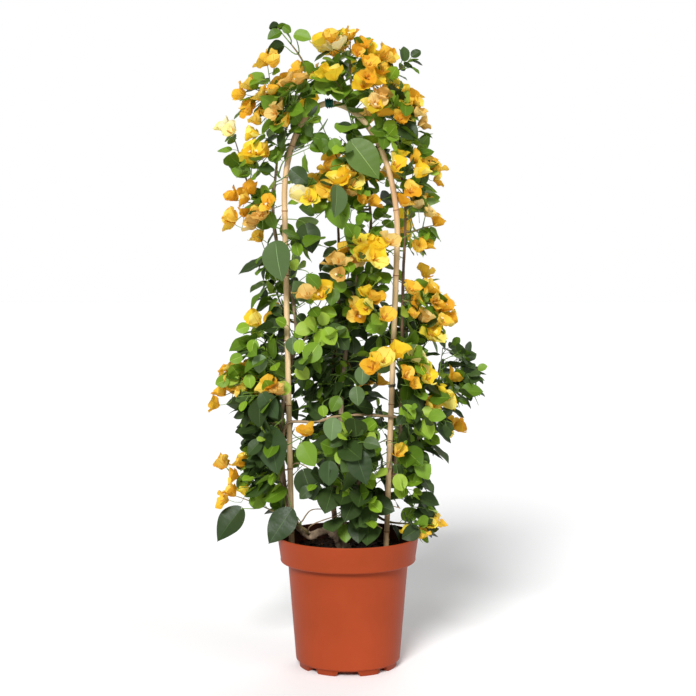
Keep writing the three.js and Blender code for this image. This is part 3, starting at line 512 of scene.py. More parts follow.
TWIG_SETS_OUT = 0.35  # how far a twig follows its first heading, in lengths
TWIG_LIFT = 0.06  # how far its line rises before its end, in lengths
SPUR_LIFT = 0.08
SPUR_SWAY = 0.35
SPUR_LENGTH = (16, 38)  # of a finer twig on a spray
SPUR_SPACING = 11.0  # between its leaves
SPUR_LEAF = (0.5, 0.95)  # their size
SPUR_DWINDLE = 0.25  # how much smaller they get toward its tip
SPUR_TIP = 0.55  # of its radius
FILL_LENGTH = (22, 46)  # of a finer twig on a bough
FILL_LEAVES = 12.0  # between its leaves
FILL_UNEVEN = (0.7, 1.3)
FIRST_LEAF = 5.0  # from a twig's foot
LAST_LEAF = 6  # before its end
BARE_UNDER_BLOSSOM = 0.6  # share of a twig after which no finer twig springs beside its blossom
TWIG_LEAF = (0.6, 1.0)  # size of the leaves on a twig
TIP_LEAF = (0.5, 0.8)  # of the leaf at a finer twig's tip
YOUNG_TIPS = 0.6  # share of those that are young
SHOOT_LEAF = (0.5, 0.8)  # of the leaves on a fine shoot
SHOOT_LEAVES = 8  # between them
SHOOT_BARE = 14.0  # from a fine shoot's foot to its first leaf
SHOOT_TIP = 0.7  # size of the leaf at its tip
DROOP = (0.1, 0.75)  # of the leaves beside a twig
UNFILLED = ("trunk", "cross", "left_foot")  # limbs that have no leaves of their own
SMALL_LEAVED = {
    "crest_left": 0.6, "tip_right": 0.6, "top_left": 0.75,
    "left_low": 0.88, "right": 0.5, "rim_right": 0.72,
}  # masses whose leaves are smaller, and how much
SHADED_SPRAYS = ("right", "crest_left", "tip_right")  # whose leaves all take dark tones, as painted shade
DRAWN_SPRAYS = ("crest_left",)  # with no leaves but those that they list
LARGE_TURN = 1.3  # how strongly a leaf that stands out turns its face to the front or the back

# A blossom has a trio of bracts, and maybe a second and a third. A bract's length is that of its solid
# times a share, and it leans from the blossom's axis by so many degrees.
MORE_TRIOS = (0.85, 0.4)
TRIO_TURN = (1.8, 3.2)  # about the blossom's axis, in radians
TRIO_ASIDE = (10, 15)
TRIO_AHEAD = (-9, 3)
TRIO_SPREAD = 0.8  # how far a further trio leans aside
TRIO_SHARE = (0.8, 1)  # of the first trio's size
TRIO_STALK = 12  # how far behind the blossom their stalks set out
TRIO_STALK_RADIUS = 0.5
SAME_TONE = 0.75  # share of the further trios in the first one's tone
BRACT_SCALE = {"orange": 0.76, "yellow": 0.88, "peach": 0.78, "cream": 0.86}
BRACT_SET_BACK = 0.35  # of the bract's length, from a blossom's middle to its twig's end
BRACT_OPENING = (28, 60)
BRACT_LENGTH = (0.85, 1.1)
BRACT_WIDTH = (0.9, 1.05)
BRACT_CUP = (0.2, 0.6)
BRACT_WAVE = (0.12, 0.36)
BROWNED_ROWS = 2.6  # at most, at a bract's tip
FLOWER_REACH = (0.42, 0.6)  # of a bract's length
FLOWER_RADIUS = 0.7
OPEN_FLOWERS = 0.12  # share of the tube flowers that have opened
STAR_REACH = (2.6, 1.3)  # of the lobes of an open flower, and of the notches between them
STAR_LIFT = (0.5, 0.2)

# Where each stream of chance begins
SHOOT_SEED = 320
LONE_SEED = 520
FINE_SEED = 700
FILL_SEED = 90
BARE_SEED = 60

# ---- outlines of leaves and bracts

# A sheet's length and width, four powers that shape its outline (the first two round its base, and the
# last two draw in its tip), how far its halves fold up from the rib, how far its tip curls down, and
# its rows of points with the side veins that they draw.
LEAVES = {
    "young": {
        "size": (26, 24), "outline": (3.8, 0.5, 3.6, 0.85), "fold": (0.08, 0.30), "curl": (0.02, 0.14),
        "rows": 10, "veins": 0,
    },
    "leaf": {
        "size": (36, 31), "outline": (4.2, 0.52, 3.2, 0.95), "fold": (0.06, 0.30), "curl": (0.04, 0.18),
        "rows": 17, "veins": 4,
    },
    "dark": {
        "size": (41, 35), "outline": (4.2, 0.52, 3.0, 1.0), "fold": (0.05, 0.28), "curl": (0.05, 0.20),
        "rows": 17, "veins": 4,
    },
    "large": {
        "size": (61, 43), "outline": (4.0, 0.55, 2.8, 1.1), "fold": (0.06, 0.20), "curl": (0.04, 0.14),
        "rows": 25, "veins": 6,
    },
}
BRACTS = {"orange": 27, "yellow": 29, "peach": 26, "cream": 27}
BRACT = {
    "outline": (3.6, 0.62, 4.2, 0.62), "fold": (0.02, 0.14), "curl": (-0.16, 0.16), "rows": 11, "veins": 0,
}
VEINED_COLUMNS = np.array([-1, -0.68, -0.34, -0.02, 0.02, 0.34, 0.68, 1])  # the middle pair bounds the rib
PLAIN_COLUMNS = np.array([-1, -0.55, -0.03, 0.03, 0.55, 1])
END_CROWDING = 0.75  # how much closer a sheet's rows stand at its base and tip
LEAST_HALF = 0.012  # half width of a sheet's ends, in lengths
BASE_SWEEP = 0.07  # how far the edges reach back at the base, in lengths
TWIST = 0.25
VEIN_RELIEF = 0.09  # height of the quilting between the side veins, in half widths
VEIN_SLANT = 0.8
RIPPLES = 10
LEAF_WAVE = (0.02, 0.09)

# ---- colours

# Of a leaf by its age and place: its tones, its rib, its roughness, and the share of light it lets through
LEAF_TONES = {
    "dark": (["#3a4f24", "#33461f", "#44592c", "#2c3d1a"], "#526a32", 0.44, 0.12),
    "leaf": (["#5a7a1b", "#688b24", "#4e6c18", "#759730"], "#80a038", 0.44, 0.22),
    "young": (["#86aa2c", "#96b736", "#769a24", "#a4c048"], "#a8c454", 0.46, 0.32),
    "large": (["#2f4320", "#354a25", "#2a3d1c", "#3b512b"], "#4c6636", 0.44, 0.10),
    # pale: the tones of a large leaf high in the bush, lighter as painted light
    "pale": (["#5c7630", "#647e36", "#546e29", "#6b853e"], "#8aa458", 0.46, 0.15),
    "clear": (["#566d41", "#5d7547", "#50663a", "#647c4e"], "#86a06c", 0.46, 0.12),
    "deep": (["#263819", "#2b3d1d", "#213215", "#304223"], "#3f5a2c", 0.44, 0.10),
}
BRACT_TONES = {
    "orange": (["#fbd04a", "#f4c038", "#fddc62", "#e9ac2c"], "#e0a02c"),
    "yellow": (["#fee03c", "#feea50", "#fcd536", "#feef78"], "#f0c22c"),
    "peach": (["#f0d07c", "#e8c268", "#f5da92", "#dfb25a"], "#d6a754"),
    "cream": (["#fdf5c0", "#fcf1aa", "#fdf8d2", "#faeb94"], "#f1e096"),
}
TONES_EACH = 4
NEIGHBOUR_TONE = {"orange": "yellow", "yellow": "orange", "peach": "orange", "cream": "yellow"}
LEAF_SHINE = 0.24
BRACT_SHINE = 0.12

# Roughness, and the share of light let through
LEAF_RIB = (0.5, 0.2)
BRACT_SKIN = (0.6, 0.35)
BRACT_RIB = (0.6, 0.3)

# The scale, the strength and the depth in metres of a fine relief
LEAF_GRAIN = (420, 0.35, 0.0004)
BRACT_GRAIN = (260, 0.6, 0.0007)
TWIG_GRAIN = (700, 0.5, 0.0003)
GRAIN_GLOSS = 0.12  # how far the roughness wanders with it

# Of the small parts of the plant: a name, a colour, a roughness, the light let through, a shine, a grain
PLAIN_TONES = {
    "bud": ("flower_tube", "#d99a3a", 0.6, 0.2, 0.3, TWIG_GRAIN),
    "flower": ("flower_mouth", "#fff3c8", 0.6, 0.3, 0.3, BRACT_GRAIN),
    "shoot": ("shoot", "#6f8c3e", 0.5, 0, 0.4, TWIG_GRAIN),
    "bare twig": ("bare_twig", "#a88c6a", 0.6, 0, 0.3, TWIG_GRAIN),
    "woody shoot": ("woody_shoot", "#75683f", 0.6, 0, 0.3, TWIG_GRAIN),
}

# Of the hard parts: a name, the two colours that its clouds run between, its least and greatest
# roughness, the scale, stretch and detail of the clouds, the strength and scale of its relief, a shine
EVEN = (1, 1, 1)
HARD_TONES = {
    "pot": ("terracotta_plastic", "#8f3918", "#9c3f1e", (0.42, 0.52), 9, EVEN, 5, 0.12, 900, 0.14),
    # the pot's inner wall runs near black: painted shade inside the rim
    "pot inside": ("pot_inside_painted_shade", "#1d0d07", "#4a2212", (0.6, 0.8), 30, EVEN, 6, 0.2, 500, 0.1),
    "soil": ("potting_mix", "#130a05", "#2c1a10", (0.85, 1.0), 160, EVEN, 8, 0.9, 700, 0.1),
    "crumb": ("soil_crumb", "#190e07", "#3d2716", (0.85, 1.0), 220, EVEN, 6, 0.6, 900, 0.1),
    "chip": ("bark_chip", "#3a2616", "#66472b", (0.8, 0.95), 200, EVEN, 6, 0.6, 900, 0.1),
    "cane": ("cane", "#c9a077", "#ecd0a0", (0.38, 0.55), 60, (1, 1, 0.12), 6, 0.25, 500, 0.3),
    "cane ring": ("cane_joint", "#80573a", "#a87a52", (0.5, 0.65), 90, (1, 1, 0.3), 4, 0.3, 500, 0.3),
    "tie": ("tie_wire", "#0b463e", "#13604f", (0.3, 0.45), 60, EVEN, 3, 0.1, 400, 0.3),
    "clip": ("clip_wire", "#1b1c16", "#2f2d22", (0.35, 0.5), 60, EVEN, 3, 0.1, 400, 0.3),
    "bark": ("bark", "#6a5643", "#b59e84", (0.75, 0.95), 130, (1, 1, 0.35), 8, 0.8, 420, 0.3),
    "stem": ("stem_bark", "#412f22", "#80634b", (0.6, 0.85), 130, (1, 1, 0.3), 6, 0.5, 420, 0.3),
    "pale stem": ("pale_stem", "#8a7052", "#bda17e", (0.6, 0.8), 130, (0.3, 1, 1), 6, 0.4, 420, 0.3),
    "green stem": ("green_stem", "#5c6a34", "#8a8348", (0.5, 0.7), 70, (1, 1, 0.3), 5, 0.3, 420, 0.3),
}
CLOUD_ENDS = (0.32, 0.68)  # of the clouds' noise, where its two colours are whole
HARD_RELIEF_DEPTH = 0.001
HARD_RELIEF_DETAIL = 4

# ---- camera and light

CAMERA_DISTANCE = 2026
CAMERA_HEIGHT = 570
CAMERA_PITCH = 3.75
CAMERA_LENS = 76.9
CAMERA_SENSOR = 36
FLOOR_REACH = 14
ROOM_LIGHT = 0.31
# Each lamp: the way to it, its strength, and the width of its disc in degrees
LAMPS = {
    "key": ((-0.5, -2.1, 1.45), 3.45, 18),
    "fill": ((1.9, -1.4, 1.1), 0.5, 40),
    "back": ((0.5, 2.0, 1.6), 0.6, 40),
}

# ---- repeatable chance


def seeded(seed):
    """A repeatable stream of numbers between 0 and 1, the same as the solids were grown with."""
    whole = 0xFFFFFFFF
    state = seed

    def draw():
        nonlocal state
        state = (state + 0x6D2B79F5) & whole
        mixed = ((state ^ (state >> 15)) * (state | 1)) & whole
        mixed ^= (mixed + (((mixed ^ (mixed >> 7)) * (mixed | 61)) & whole)) & whole
        return (mixed ^ (mixed >> 14)) / (whole + 1)

    return draw


def between(draw, low, high):
    return low + (high - low) * draw()


def pick(draw, choices):
    return choices[min(int(draw() * len(choices)), len(choices) - 1)]


# ---- lines through space


class Course:
    """A smooth line through sampled points, walked by its length from 0 to 1."""

    def __init__(self, samples):
        self.samples = samples
        steps = [(b - a).length for a, b in zip(samples, samples[1:])]
        self.reach = np.concatenate([[0], np.cumsum(steps)])
        self.length = float(self.reach[-1])

    def at(self, t):
        want = max(0.0, min(1.0, t)) * self.length
        k = int(np.clip(np.searchsorted(self.reach, want, side="right") - 1, 0, len(self.samples) - 2))
        span = self.reach[k + 1] - self.reach[k]
        share = (want - self.reach[k]) / span if span > 0 else 0
        return self.samples[k].lerp(self.samples[k + 1], share)

    def heading(self, t):
        step = 0.01
        return (self.at(min(1.0, t + step)) - self.at(max(0.0, t - step))).normalized()


def through(points, steps=16):
    """The centripetal spline through the points."""
    ends = [points[0] * 2 - points[1], *points, points[-1] * 2 - points[-2]]
    samples = []
    for p0, p1, p2, p3 in zip(ends, ends[1:], ends[2:], ends[3:]):
        d0, d1, d2 = ((b - a).length ** 0.5 for a, b in ((p0, p1), (p1, p2), (p2, p3)))
        leave = ((p1 - p0) / d0 - (p2 - p0) / (d0 + d1) + (p2 - p1) / d1) * d1
        arrive = ((p2 - p1) / d1 - (p3 - p1) / (d1 + d2) + (p3 - p2) / d2) * d1
        for step in range(steps):
            s = step / steps
            bend = p1 * (2 * s**3 - 3 * s**2 + 1) + p2 * (3 * s**2 - 2 * s**3)
            samples.append(bend + leave * (s**3 - 2 * s**2 + s) + arrive * (s**3 - s**2))
    return Course([*samples, points[-1]])


def bezier(start, leave, arrive, end, steps=20):
    def point(s):
        r = 1 - s
        return start * r**3 + leave * (3 * r * r * s) + arrive * (3 * r * s * s) + end * s**3

    return Course([point(k / steps) for k in range(steps + 1)])


def around(axis, turn):
    """A direction square to an axis, turned about it."""
    return Quaternion(axis, turn) @ axis.orthogonal().normalized()


def arching(start, heading, end, length, lift, steps=20):
    """A twig's line that sets out along a heading and comes down to its end from a little above."""
    above = end.lerp(start, 0.3) + UP * (lift * length)
    return bezier(start, start + heading * (TWIG_SETS_OUT * length), above, end, steps)


def twig_course(start, heading, end):
    return arching(start, heading, end, (end - start).length, TWIG_LIFT)


# ---- gathering faces


def add_object(name, data):
    added = bpy.data.objects.new(name, data)
    bpy.context.scene.collection.objects.link(added)
    return added


class Batch:
    """Faces gathered for one piece, in millimetres, each with the name of its tone."""

    def __init__(self):
        self.points, self.faces, self.tones = [], [], []
        self.count = 0

    def add(self, points, faces, tones):
        self.points.append(np.asarray(points, float).reshape(-1, 3))
        self.faces.extend([tuple(i + self.count for i in face) for face in faces])
        self.tones.extend([tones] * len(faces) if isinstance(tones, str) else tones)
        self.count += len(self.points[-1])

    def build(self, name, materials, slot):
        """One piece that rides on the plant, with a material for each tone that it uses."""
        used = [tone for tone in materials if tone in set(self.tones)]
        mesh = bpy.data.meshes.new(name)
        mesh.from_pydata((np.concatenate(self.points) * MM).tolist(), [], self.faces)
        for tone in used:
            mesh.materials.append(materials[tone])
        index = {tone: k for k, tone in enumerate(used)}
        mesh.polygons.foreach_set("material_index", [index[tone] for tone in self.tones])
        mesh.polygons.foreach_set("use_smooth", [True] * len(mesh.polygons))
        mesh.update()
        piece = add_object(name, mesh)
        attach(piece, "root")
        return piece


def grid_faces(rows, columns, closed=False):
    """Quads between neighbouring rows of points, each row being closed into a ring or not."""
    faces = []
    for row in range(0, (rows - 1) * columns, columns):
        for c in range(columns if closed else columns - 1):
            following = (c + 1) % columns
            faces.append((row + c, row + following, row + columns + following, row + columns + c))
    return faces


def tube(batch, course, radius_at, kind, tone, relief=None):
    """A round bar along a course with closed ends. relief(point, angle, t) swells or sinks its skin."""
    sides, step = RINGS[kind]
    count = max(2, round(course.length / step))
    side = course.heading(0).orthogonal().normalized()
    rings = []
    for k in range(count + 1):
        t = k / count
        centre, heading = course.at(t), course.heading(t)
        side = (side - heading * side.dot(heading)).normalized()
        over = heading.cross(side)
        radius = radius_at(t)
        for j in range(sides):
            angle = FULL_TURN * j / sides
            out = side * math.cos(angle) + over * math.sin(angle)
            swell = relief(centre + out * radius, angle, t) if relief else 1
            rings.append(centre + out * (radius * swell))
    faces = grid_faces(count + 1, sides, closed=True)
    faces.append(tuple(reversed(range(sides))))
    faces.append(tuple(range(count * sides, (count + 1) * sides)))
    batch.add([tuple(p) for p in rings], faces, tone)


def tapering(foot, tip):
    """A radius along a course that runs evenly from its foot to its tip."""
    return lambda t: foot + (tip - foot) * t


# ---- limbs


def limb_course(name):
    limb = LIMBS[name]
    points = [Vector(p) for p in limb["course"]]
    if "from" not in limb:
        return through(points)
    start, heading, _ = spring_point(*limb["from"], points[0])
    return through([start, start + heading * limb["radii"][0], *points])


def spring_point(limb, at, toward):
    """Where something springs from a limb's skin, which way it sets out, and the limb's middle there."""
    course = limb_course(limb)
    middle, along = course.at(at), course.heading(at)
    if at == 1:
        return middle + along * GAP, along, middle - along * 4
    heading = toward - middle
    heading = (heading - along * heading.dot(along)).normalized()
    return middle + heading * (tapering(*LIMBS[limb]["radii"])(at) + GAP), heading, middle


def rooted(course, middle):
    """The same course, begun in the middle of the limb that it springs from."""
    return Course([middle, *course.samples])


def bark(seed, rough):
    """Ridges and knuckles in a limb's skin."""
    shift = Vector((seed * 17.3, seed * 5.1, 0))
    finer, lower = FINE_RIDGES

    def relief(point, *_):
        stretched = point * BARK_GRAIN + shift
        ridges = noise.noise(stretched) + lower * noise.noise(stretched * finer)
        knuckle = noise.noise(Vector((0, seed * 3.7, point.z * 0.045 + point.x * 0.03)))
        return 1 + rough * (ridges + KNUCKLES * knuckle)

    return relief


def grow_trunk():
    """The main stem, which spreads at its foot into the roots."""
    foot, tip = (radius * TRUNK_SKIN for radius in LIMBS["trunk"]["radii"])
    skin = bark(0, TRUNK_BARK)

    def relief(point, angle, t):
        flare = LIMBS["trunk"]["flare"] * math.exp(-t / FLARE_REACH)
        return skin(point) * (1 + flare * (1 + ROOT_DEPTH * math.cos(ROOTS * angle)))

    trunk = Batch()
    tube(trunk, limb_course("trunk"), tapering(foot, tip), "trunk", "bark", relief)
    return trunk


def grow_boughs():
    boughs = Batch()
    for index, (name, limb) in enumerate(LIMBS.items()):
        if name == "trunk":
            continue
        foot = limb["radii"][0]
        _, _, middle = spring_point(*limb["from"], Vector(limb["course"][0]))
        tone = "bark" if foot > THICK_BOUGH else "stem" if foot > WOODY_BOUGH else "green stem"
        tone = "pale stem" if name == "cross" else tone
        relief = bark(index, THICK_BARK if foot > THICK_BOUGH else THIN_BARK)
        kind = "bough" if foot > WOODY_BOUGH else "thin bough"
        tube(boughs, rooted(limb_course(name), middle), tapering(*limb["radii"]), kind, tone, relief)
    return boughs


def add_bare_twigs(twigs):
    for index, (limb, at, way, end) in enumerate(BARE_TWIGS):
        _, heading, middle = spring_point(limb, at, Vector(way))
        course = through([middle, middle + heading * 9, Vector(way), Vector(end)])
        taper = tapering(BARE_RADIUS, TWIG_END_RADIUS)
        tube(twigs, course, taper, "bare twig", "bare twig", bark(BARE_SEED + index, BARE_BARK))


# ---- leaves and bracts


def sheet(form, length, width, draw, cup=0.0, wave=LEAF_WAVE):
    """A leaf or bract, its base at the origin and its rib along +X, its upper face to +Z."""
    across = VEINED_COLUMNS if form["veins"] else PLAIN_COLUMNS
    even = np.linspace(0, 1, form["rows"])[:, None]
    u = (1 - END_CROWDING) * even + END_CROWDING / 2 * (1 - np.cos(np.pi * even))
    a, b, c, d = form["outline"]
    outline = (1 - (1 - u) ** a) ** b * (1 - u**c) ** d
    half = np.maximum(width / 2 * outline / outline.max(), LEAST_HALF * length)
    fold, curl = between(draw, *form["fold"]), between(draw, *form["curl"])
    phase, twist = draw() * FULL_TURN, between(draw, -TWIST, TWIST) * u
    edge = np.abs(across)
    x = length * (u - BASE_SWEEP * edge * (1 - u) ** 5)
    y = across * half
    z = fold * np.abs(y) + cup * half * across**2 - curl * length * u**2
    z = z + between(draw, *wave) * half * across**2 * np.sin(u * RIPPLES + phase + 1.6 * np.sign(across))
    if form["veins"]:
        side_veins = np.cos(FULL_TURN * (form["veins"] * u - VEIN_SLANT * edge))
        z = z + VEIN_RELIEF * half * edge * (1 - edge) * side_veins
    turned_y = y * np.cos(twist) - z * np.sin(twist)
    turned_z = y * np.sin(twist) + z * np.cos(twist)
    return np.stack([x, turned_y, turned_z], axis=-1)


def sheet_faces(points):
    """A sheet's quads, and which of them are its rib."""
    rows, columns = points.shape[:2]
    faces = grid_faces(rows, columns)
    return faces, [k % (columns - 1) == columns // 2 - 1 for k in range(len(faces))]


def lay(points, root, direction, facing):
    """The points with +X laid along a direction from a root, and +Z turned to face a normal."""
    side = facing.cross(direction).normalized()
    normal = direction.cross(side)
    basis = np.array([direction, side, normal], float)
    return points.reshape(-1, 3) @ basis + np.array(root, float)


def leaning(degrees):
    """The direction of a leaf that leans so far from level, as seen from the front."""
    angle = math.radians(degrees)
    return Vector((math.cos(angle), -0.25, math.sin(angle))).normalized()


def outward_at(point):
    return Vector((point.x / CROWN_HALF_WIDTH, point.y / CROWN_HALF_DEPTH, 0.08)).normalized()


def facing_at(point, draw):
    tilt = Vector((draw() - 0.5, draw() - 0.8, 0.35 + 0.5 * draw()))
    return (outward_at(point) + tilt).normalized()


# ---- where leaves may be


def seen(point):
    """A point's X and Z as they look from the front, drawn onto the plane through the pot's axis."""
    nearer = CAMERA_DISTANCE / (CAMERA_DISTANCE + point[1])
    return point[0] * nearer, CAMERA_HEIGHT + (point[2] - CAMERA_HEIGHT) * nearer


def in_opening(point):
    x, z = seen(point)
    return any(low_x < x < high_x and low_z < z < high_z for low_x, high_x, low_z, high_z in OPENINGS)


def leg_x(foot, shoulder, z):
    """The X of one side of the hoop at a height below its apex."""
    x, top = shoulder
    if z <= top:
        return foot + (x - foot) * (z - SOIL_LEVEL) / (top - SOIL_LEVEL)
    rise = (z - top) / (CANE_APEX[1] - top)
    return CANE_APEX[0] + (x - CANE_APEX[0]) * math.sqrt(1 - rise * rise)


def hides_cane(point, reach=2.5):
    x, z = seen(point)
    if point[1] > CANE_PLANE or z >= CANE_APEX[1]:
        return False
    sides = ((CANE_LEFT_FOOT, CANE_LEFT_SHOULDER), (CANE_RIGHT_FOOT, CANE_RIGHT_SHOULDER))
    return any(abs(x - leg_x(*side, z)) < CANE_RADIUS + reach for side in sides)


def past_edge(point):
    x, z = seen(point)
    heights, lows, highs = np.transpose(CROWN_EDGE)
    return x < np.interp(z, heights, lows) or x > np.interp(z, heights, highs)


def crown_space(foot, top, back=CROWN_HALF_DEPTH):
    """The lowest and the highest corner of the crown between two heights."""
    return np.array([-CROWN_HALF_WIDTH, -CROWN_HALF_DEPTH, foot]), np.array([CROWN_HALF_WIDTH, back, top])


def spray_space(marks):
    low = np.min([tuple(p) for p in marks], axis=0) - SPACE_MARGIN
    high = np.max([tuple(p) for p in marks], axis=0) + SPACE_MARGIN
    crown_low, crown_high = crown_space(SOIL_LEVEL + 4, CROWN_TOP)
    return np.maximum(low, crown_low), np.minimum(high, crown_high)


def is_welcome(points, space):
    """Whether a leaf stays in its spray's space and the crown's edge, off the canes and the openings."""
    low, high = space
    if (points.min(axis=0) < low).any() or (points.max(axis=0) > high).any():
        return False
    if any(p[2] < CANE_BARE_TOP and hides_cane(p) for p in points[::7]):
        return False
    middle = points[len(points) // 2]
    return not in_opening(middle) and not past_edge(middle)


def by_height(z, dense, airy):
    """One value in the dense lower bush, another in the airy top, and evenly from one to the other."""
    high = max(0.0, min(1.0, (z - DENSE_TOP) / (AIRY_FOOT - DENSE_TOP)))
    return dense + (airy - dense) * high


def leaf_tone(kind, z, shaded, draw):
    """Leaves darken with age, and take dark tones as painted shade low in the bush and on shaded sprays."""
    if shaded:
        return "leaf" if draw() < SHADED_GREEN else "dark"
    if kind == "young":
        return "leaf" if draw() < AGED_YOUNG else "young"
    if kind == "large":
        # a large leaf high up takes the pale tones: painted light
        return "pale" if z > LIT_LARGE_FOOT else "large"
    if kind == "leaf":
        return "dark" if draw() < by_height(z, *DARKENED) else "leaf"
    return "leaf" if draw() < by_height(z, *LIGHTENED) else "dark"


# ---- growing leaves and blossom


def flower_radius(t):
    """The tube flower widens from its foot and narrows again to its tip."""
    return FLOWER_RADIUS + 0.35 * math.sin(3 * t) ** 2


class Foliage:
    """The leaves, bracts and twigs of the whole bush, gathered while it grows."""

    def __init__(self):
        self.dark, self.green, self.young, self.bracts, self.twigs = (Batch() for _ in range(5))
        self.shaded = False

    def twig(self, points, radius):
        """A thin green line from point to point."""
        tube(self.twigs, Course(points), lambda t: radius, "stalk", "shoot")

    def leaf(self, root, direction, facing, kind, draw, scale=1.0, space=None, stalk=0.0, family=None):
        """One leaf at the end of its stalk. Without a space it is put down wherever it falls."""
        form = LEAVES[kind]
        length, width = (size * scale for size in form["size"])
        foot = root + (direction + UP * 0.15).normalized() * stalk
        shape = sheet(form, length, width, draw)
        points = lay(shape, foot, direction, facing)
        family = family or leaf_tone(kind, foot.z, self.shaded, draw)
        tone = f"{family} {int(draw() * TONES_EACH)}"
        if space is not None and not is_welcome(points, space):
            return
        faces, ribs = sheet_faces(shape)
        batch = {"young": self.young, "leaf": self.green}.get(kind, self.dark)
        batch.add(points, faces, [f"{family} rib" if rib else tone for rib in ribs])
        if stalk:
            self.twig([root, foot.lerp(root, 0.5) + UP * 0.4, foot], STALK_RADIUS)

    def bract(self, root, direction, facing, kind, size, draw):
        """One bract, browned at its tip."""
        length = size * between(draw, *BRACT_LENGTH)
        width = length * between(draw, *BRACT_WIDTH)
        shape = sheet(BRACT, length, width, draw, between(draw, *BRACT_CUP), BRACT_WAVE)
        faces, ribs = sheet_faces(shape)
        tone = f"{kind} {int(draw() * TONES_EACH)}"
        tones = [f"{kind} rib" if rib else tone for rib in ribs]
        columns = PLAIN_COLUMNS.size - 1
        for row in range(round(between(draw, 0, BROWNED_ROWS))):
            last = len(tones) - row * columns
            tones[last - 1] = tones[last - columns] = f"{kind} rib"
        self.bracts.add(lay(shape, root, direction, facing), faces, tones)

    def trio(self, centre, axis, kind, size, draw):
        """Three bracts, each with a small tube flower before it."""
        start = draw() * FULL_TURN
        for k in range(3):
            radial = around(axis, start + FULL_TURN * k / 3 + between(draw, -0.2, 0.2))
            opening = math.radians(between(draw, *BRACT_OPENING))
            direction = axis * math.cos(opening) + radial * math.sin(opening)
            facing = axis * math.sin(opening) - radial * math.cos(opening)
            self.bract(centre + radial * 0.8, direction, facing, kind, size, draw)
            lean = (axis + radial * 0.45).normalized()
            tip = centre + lean * (size * between(draw, *FLOWER_REACH))
            flower = Course([centre, centre.lerp(tip, 0.5) + radial * 0.6, tip])
            tube(self.bracts, flower, flower_radius, "flower", "bud")
            if draw() < OPEN_FLOWERS:
                self.star(tip, lean, draw)

    def star(self, centre, axis, draw):
        """The five-lobed mouth of an open flower."""
        turn = draw() * FULL_TURN
        points = [tuple(centre)]
        for k in range(10):
            radial = around(axis, turn + FULL_TURN * k / 10)
            points.append(tuple(centre + radial * STAR_REACH[k % 2] + axis * STAR_LIFT[k % 2]))
        self.bracts.add(points, [(0, 1 + k, 1 + (k + 1) % 10) for k in range(10)], "flower")

    def cluster(self, end, direction, kind, draw, trios=None):
        """A blossom at a twig's end: a trio of bracts, and mostly one or two more on their own stalks."""
        size = BRACTS[kind] * BRACT_SCALE[kind]
        self.trio(end, direction, kind, size, draw)
        turn = draw() * FULL_TURN
        back = end - direction * TRIO_STALK
        for k, chance in enumerate(MORE_TRIOS):
            turn += between(draw, *TRIO_TURN)
            if draw() > chance if trios is None else k + 1 >= trios:
                continue
            side = around(direction, turn)
            place = end + side * between(draw, *TRIO_ASIDE) + direction * between(draw, *TRIO_AHEAD)
            if hides_cane(place, TRIO_CLEARANCE) or in_opening(place):
                continue
            self.twig([back, back.lerp(place, 0.5) - UP * 1.5, place], TRIO_STALK_RADIUS)
            other = kind if draw() < SAME_TONE else NEIGHBOUR_TONE[kind]
            turned = (direction + side * TRIO_SPREAD).normalized()
            self.trio(place, turned, other, size * between(draw, *TRIO_SHARE), draw)

    def spur(self, start, heading, length, kind, draw, space, spacing=SPUR_SPACING):
        """A finer twig with leaves turned by the golden angle and a small one at its tip."""
        sway = Vector((draw() - 0.5, draw() - 0.5, draw() - 0.6))
        end = start + heading * length + sway * (SPUR_SWAY * length)
        course = arching(start, heading, end, length, SPUR_LIFT, 8)
        if in_opening(course.at(0.6)) or hides_cane(course.at(0.6)):
            return
        tube(self.twigs, course, tapering(SPUR_RADIUS, SPUR_TIP * SPUR_RADIUS), "spur", "shoot")
        turn = draw() * FULL_TURN
        reach = 0.45 * spacing
        while reach < length:
            t = reach / length
            share = between(draw, *SPUR_LEAF) * (1 - SPUR_DWINDLE * t)
            self.side_leaf(course, t, turn, kind, draw, share, space)
            turn += GOLDEN_ANGLE
            reach += spacing
        tip_kind = "young" if draw() < YOUNG_TIPS else kind
        facing = facing_at(end, draw)
        direction = (course.heading(1) + outward_at(end) * 0.3).normalized()
        self.leaf(end, direction, facing, tip_kind, draw, between(draw, *TIP_LEAF), space)

    def side_leaf(self, course, t, turn, kind, draw, scale, space):
        """A leaf on its stalk beside a twig, hanging outward."""
        point, heading = course.at(t), course.heading(t)
        kind = "young" if draw() < np.interp(point.z, *FRESH_SHARE) else kind
        side = heading.cross(UP)
        side = (side if side.length > 0.05 else heading.orthogonal()).normalized()
        side = Quaternion(heading, turn) @ side
        droop = UP * -between(draw, *DROOP)
        direction = (side + heading * 0.4 + outward_at(point) * 0.6 + droop).normalized()
        facing, stalk = facing_at(point, draw), between(draw, *STALK_LENGTH)
        self.leaf(point, direction, facing, kind, draw, scale, space, stalk)

    def leaf_up(self, course, kind, blossoming, draw, space, scale):
        """Leaves and finer twigs along a twig, spaced by their height in the bush."""
        turn = draw() * FULL_TURN
        reach = FIRST_LEAF
        while reach < course.length - LAST_LEAF:
            t = reach / course.length
            point, along = course.at(t), course.heading(t)
            crowned = blossoming and t > BARE_UNDER_BLOSSOM
            if draw() < by_height(point.z, *SPUR_SHARE) and not crowned:
                set_out = (around(along, turn) + along * 0.5 + outward_at(point) * 0.3).normalized()
                self.spur(point, set_out, between(draw, *SPUR_LENGTH), kind, draw, space)
            else:
                share = scale * between(draw, *TWIG_LEAF) * by_height(point.z, *LEAF_SHRINK)
                self.side_leaf(course, t, turn, kind, draw, share, space)
            turn += GOLDEN_ANGLE
            reach += np.interp(point.z, *SHOOT_SPACING) * scale


# ---- sprays


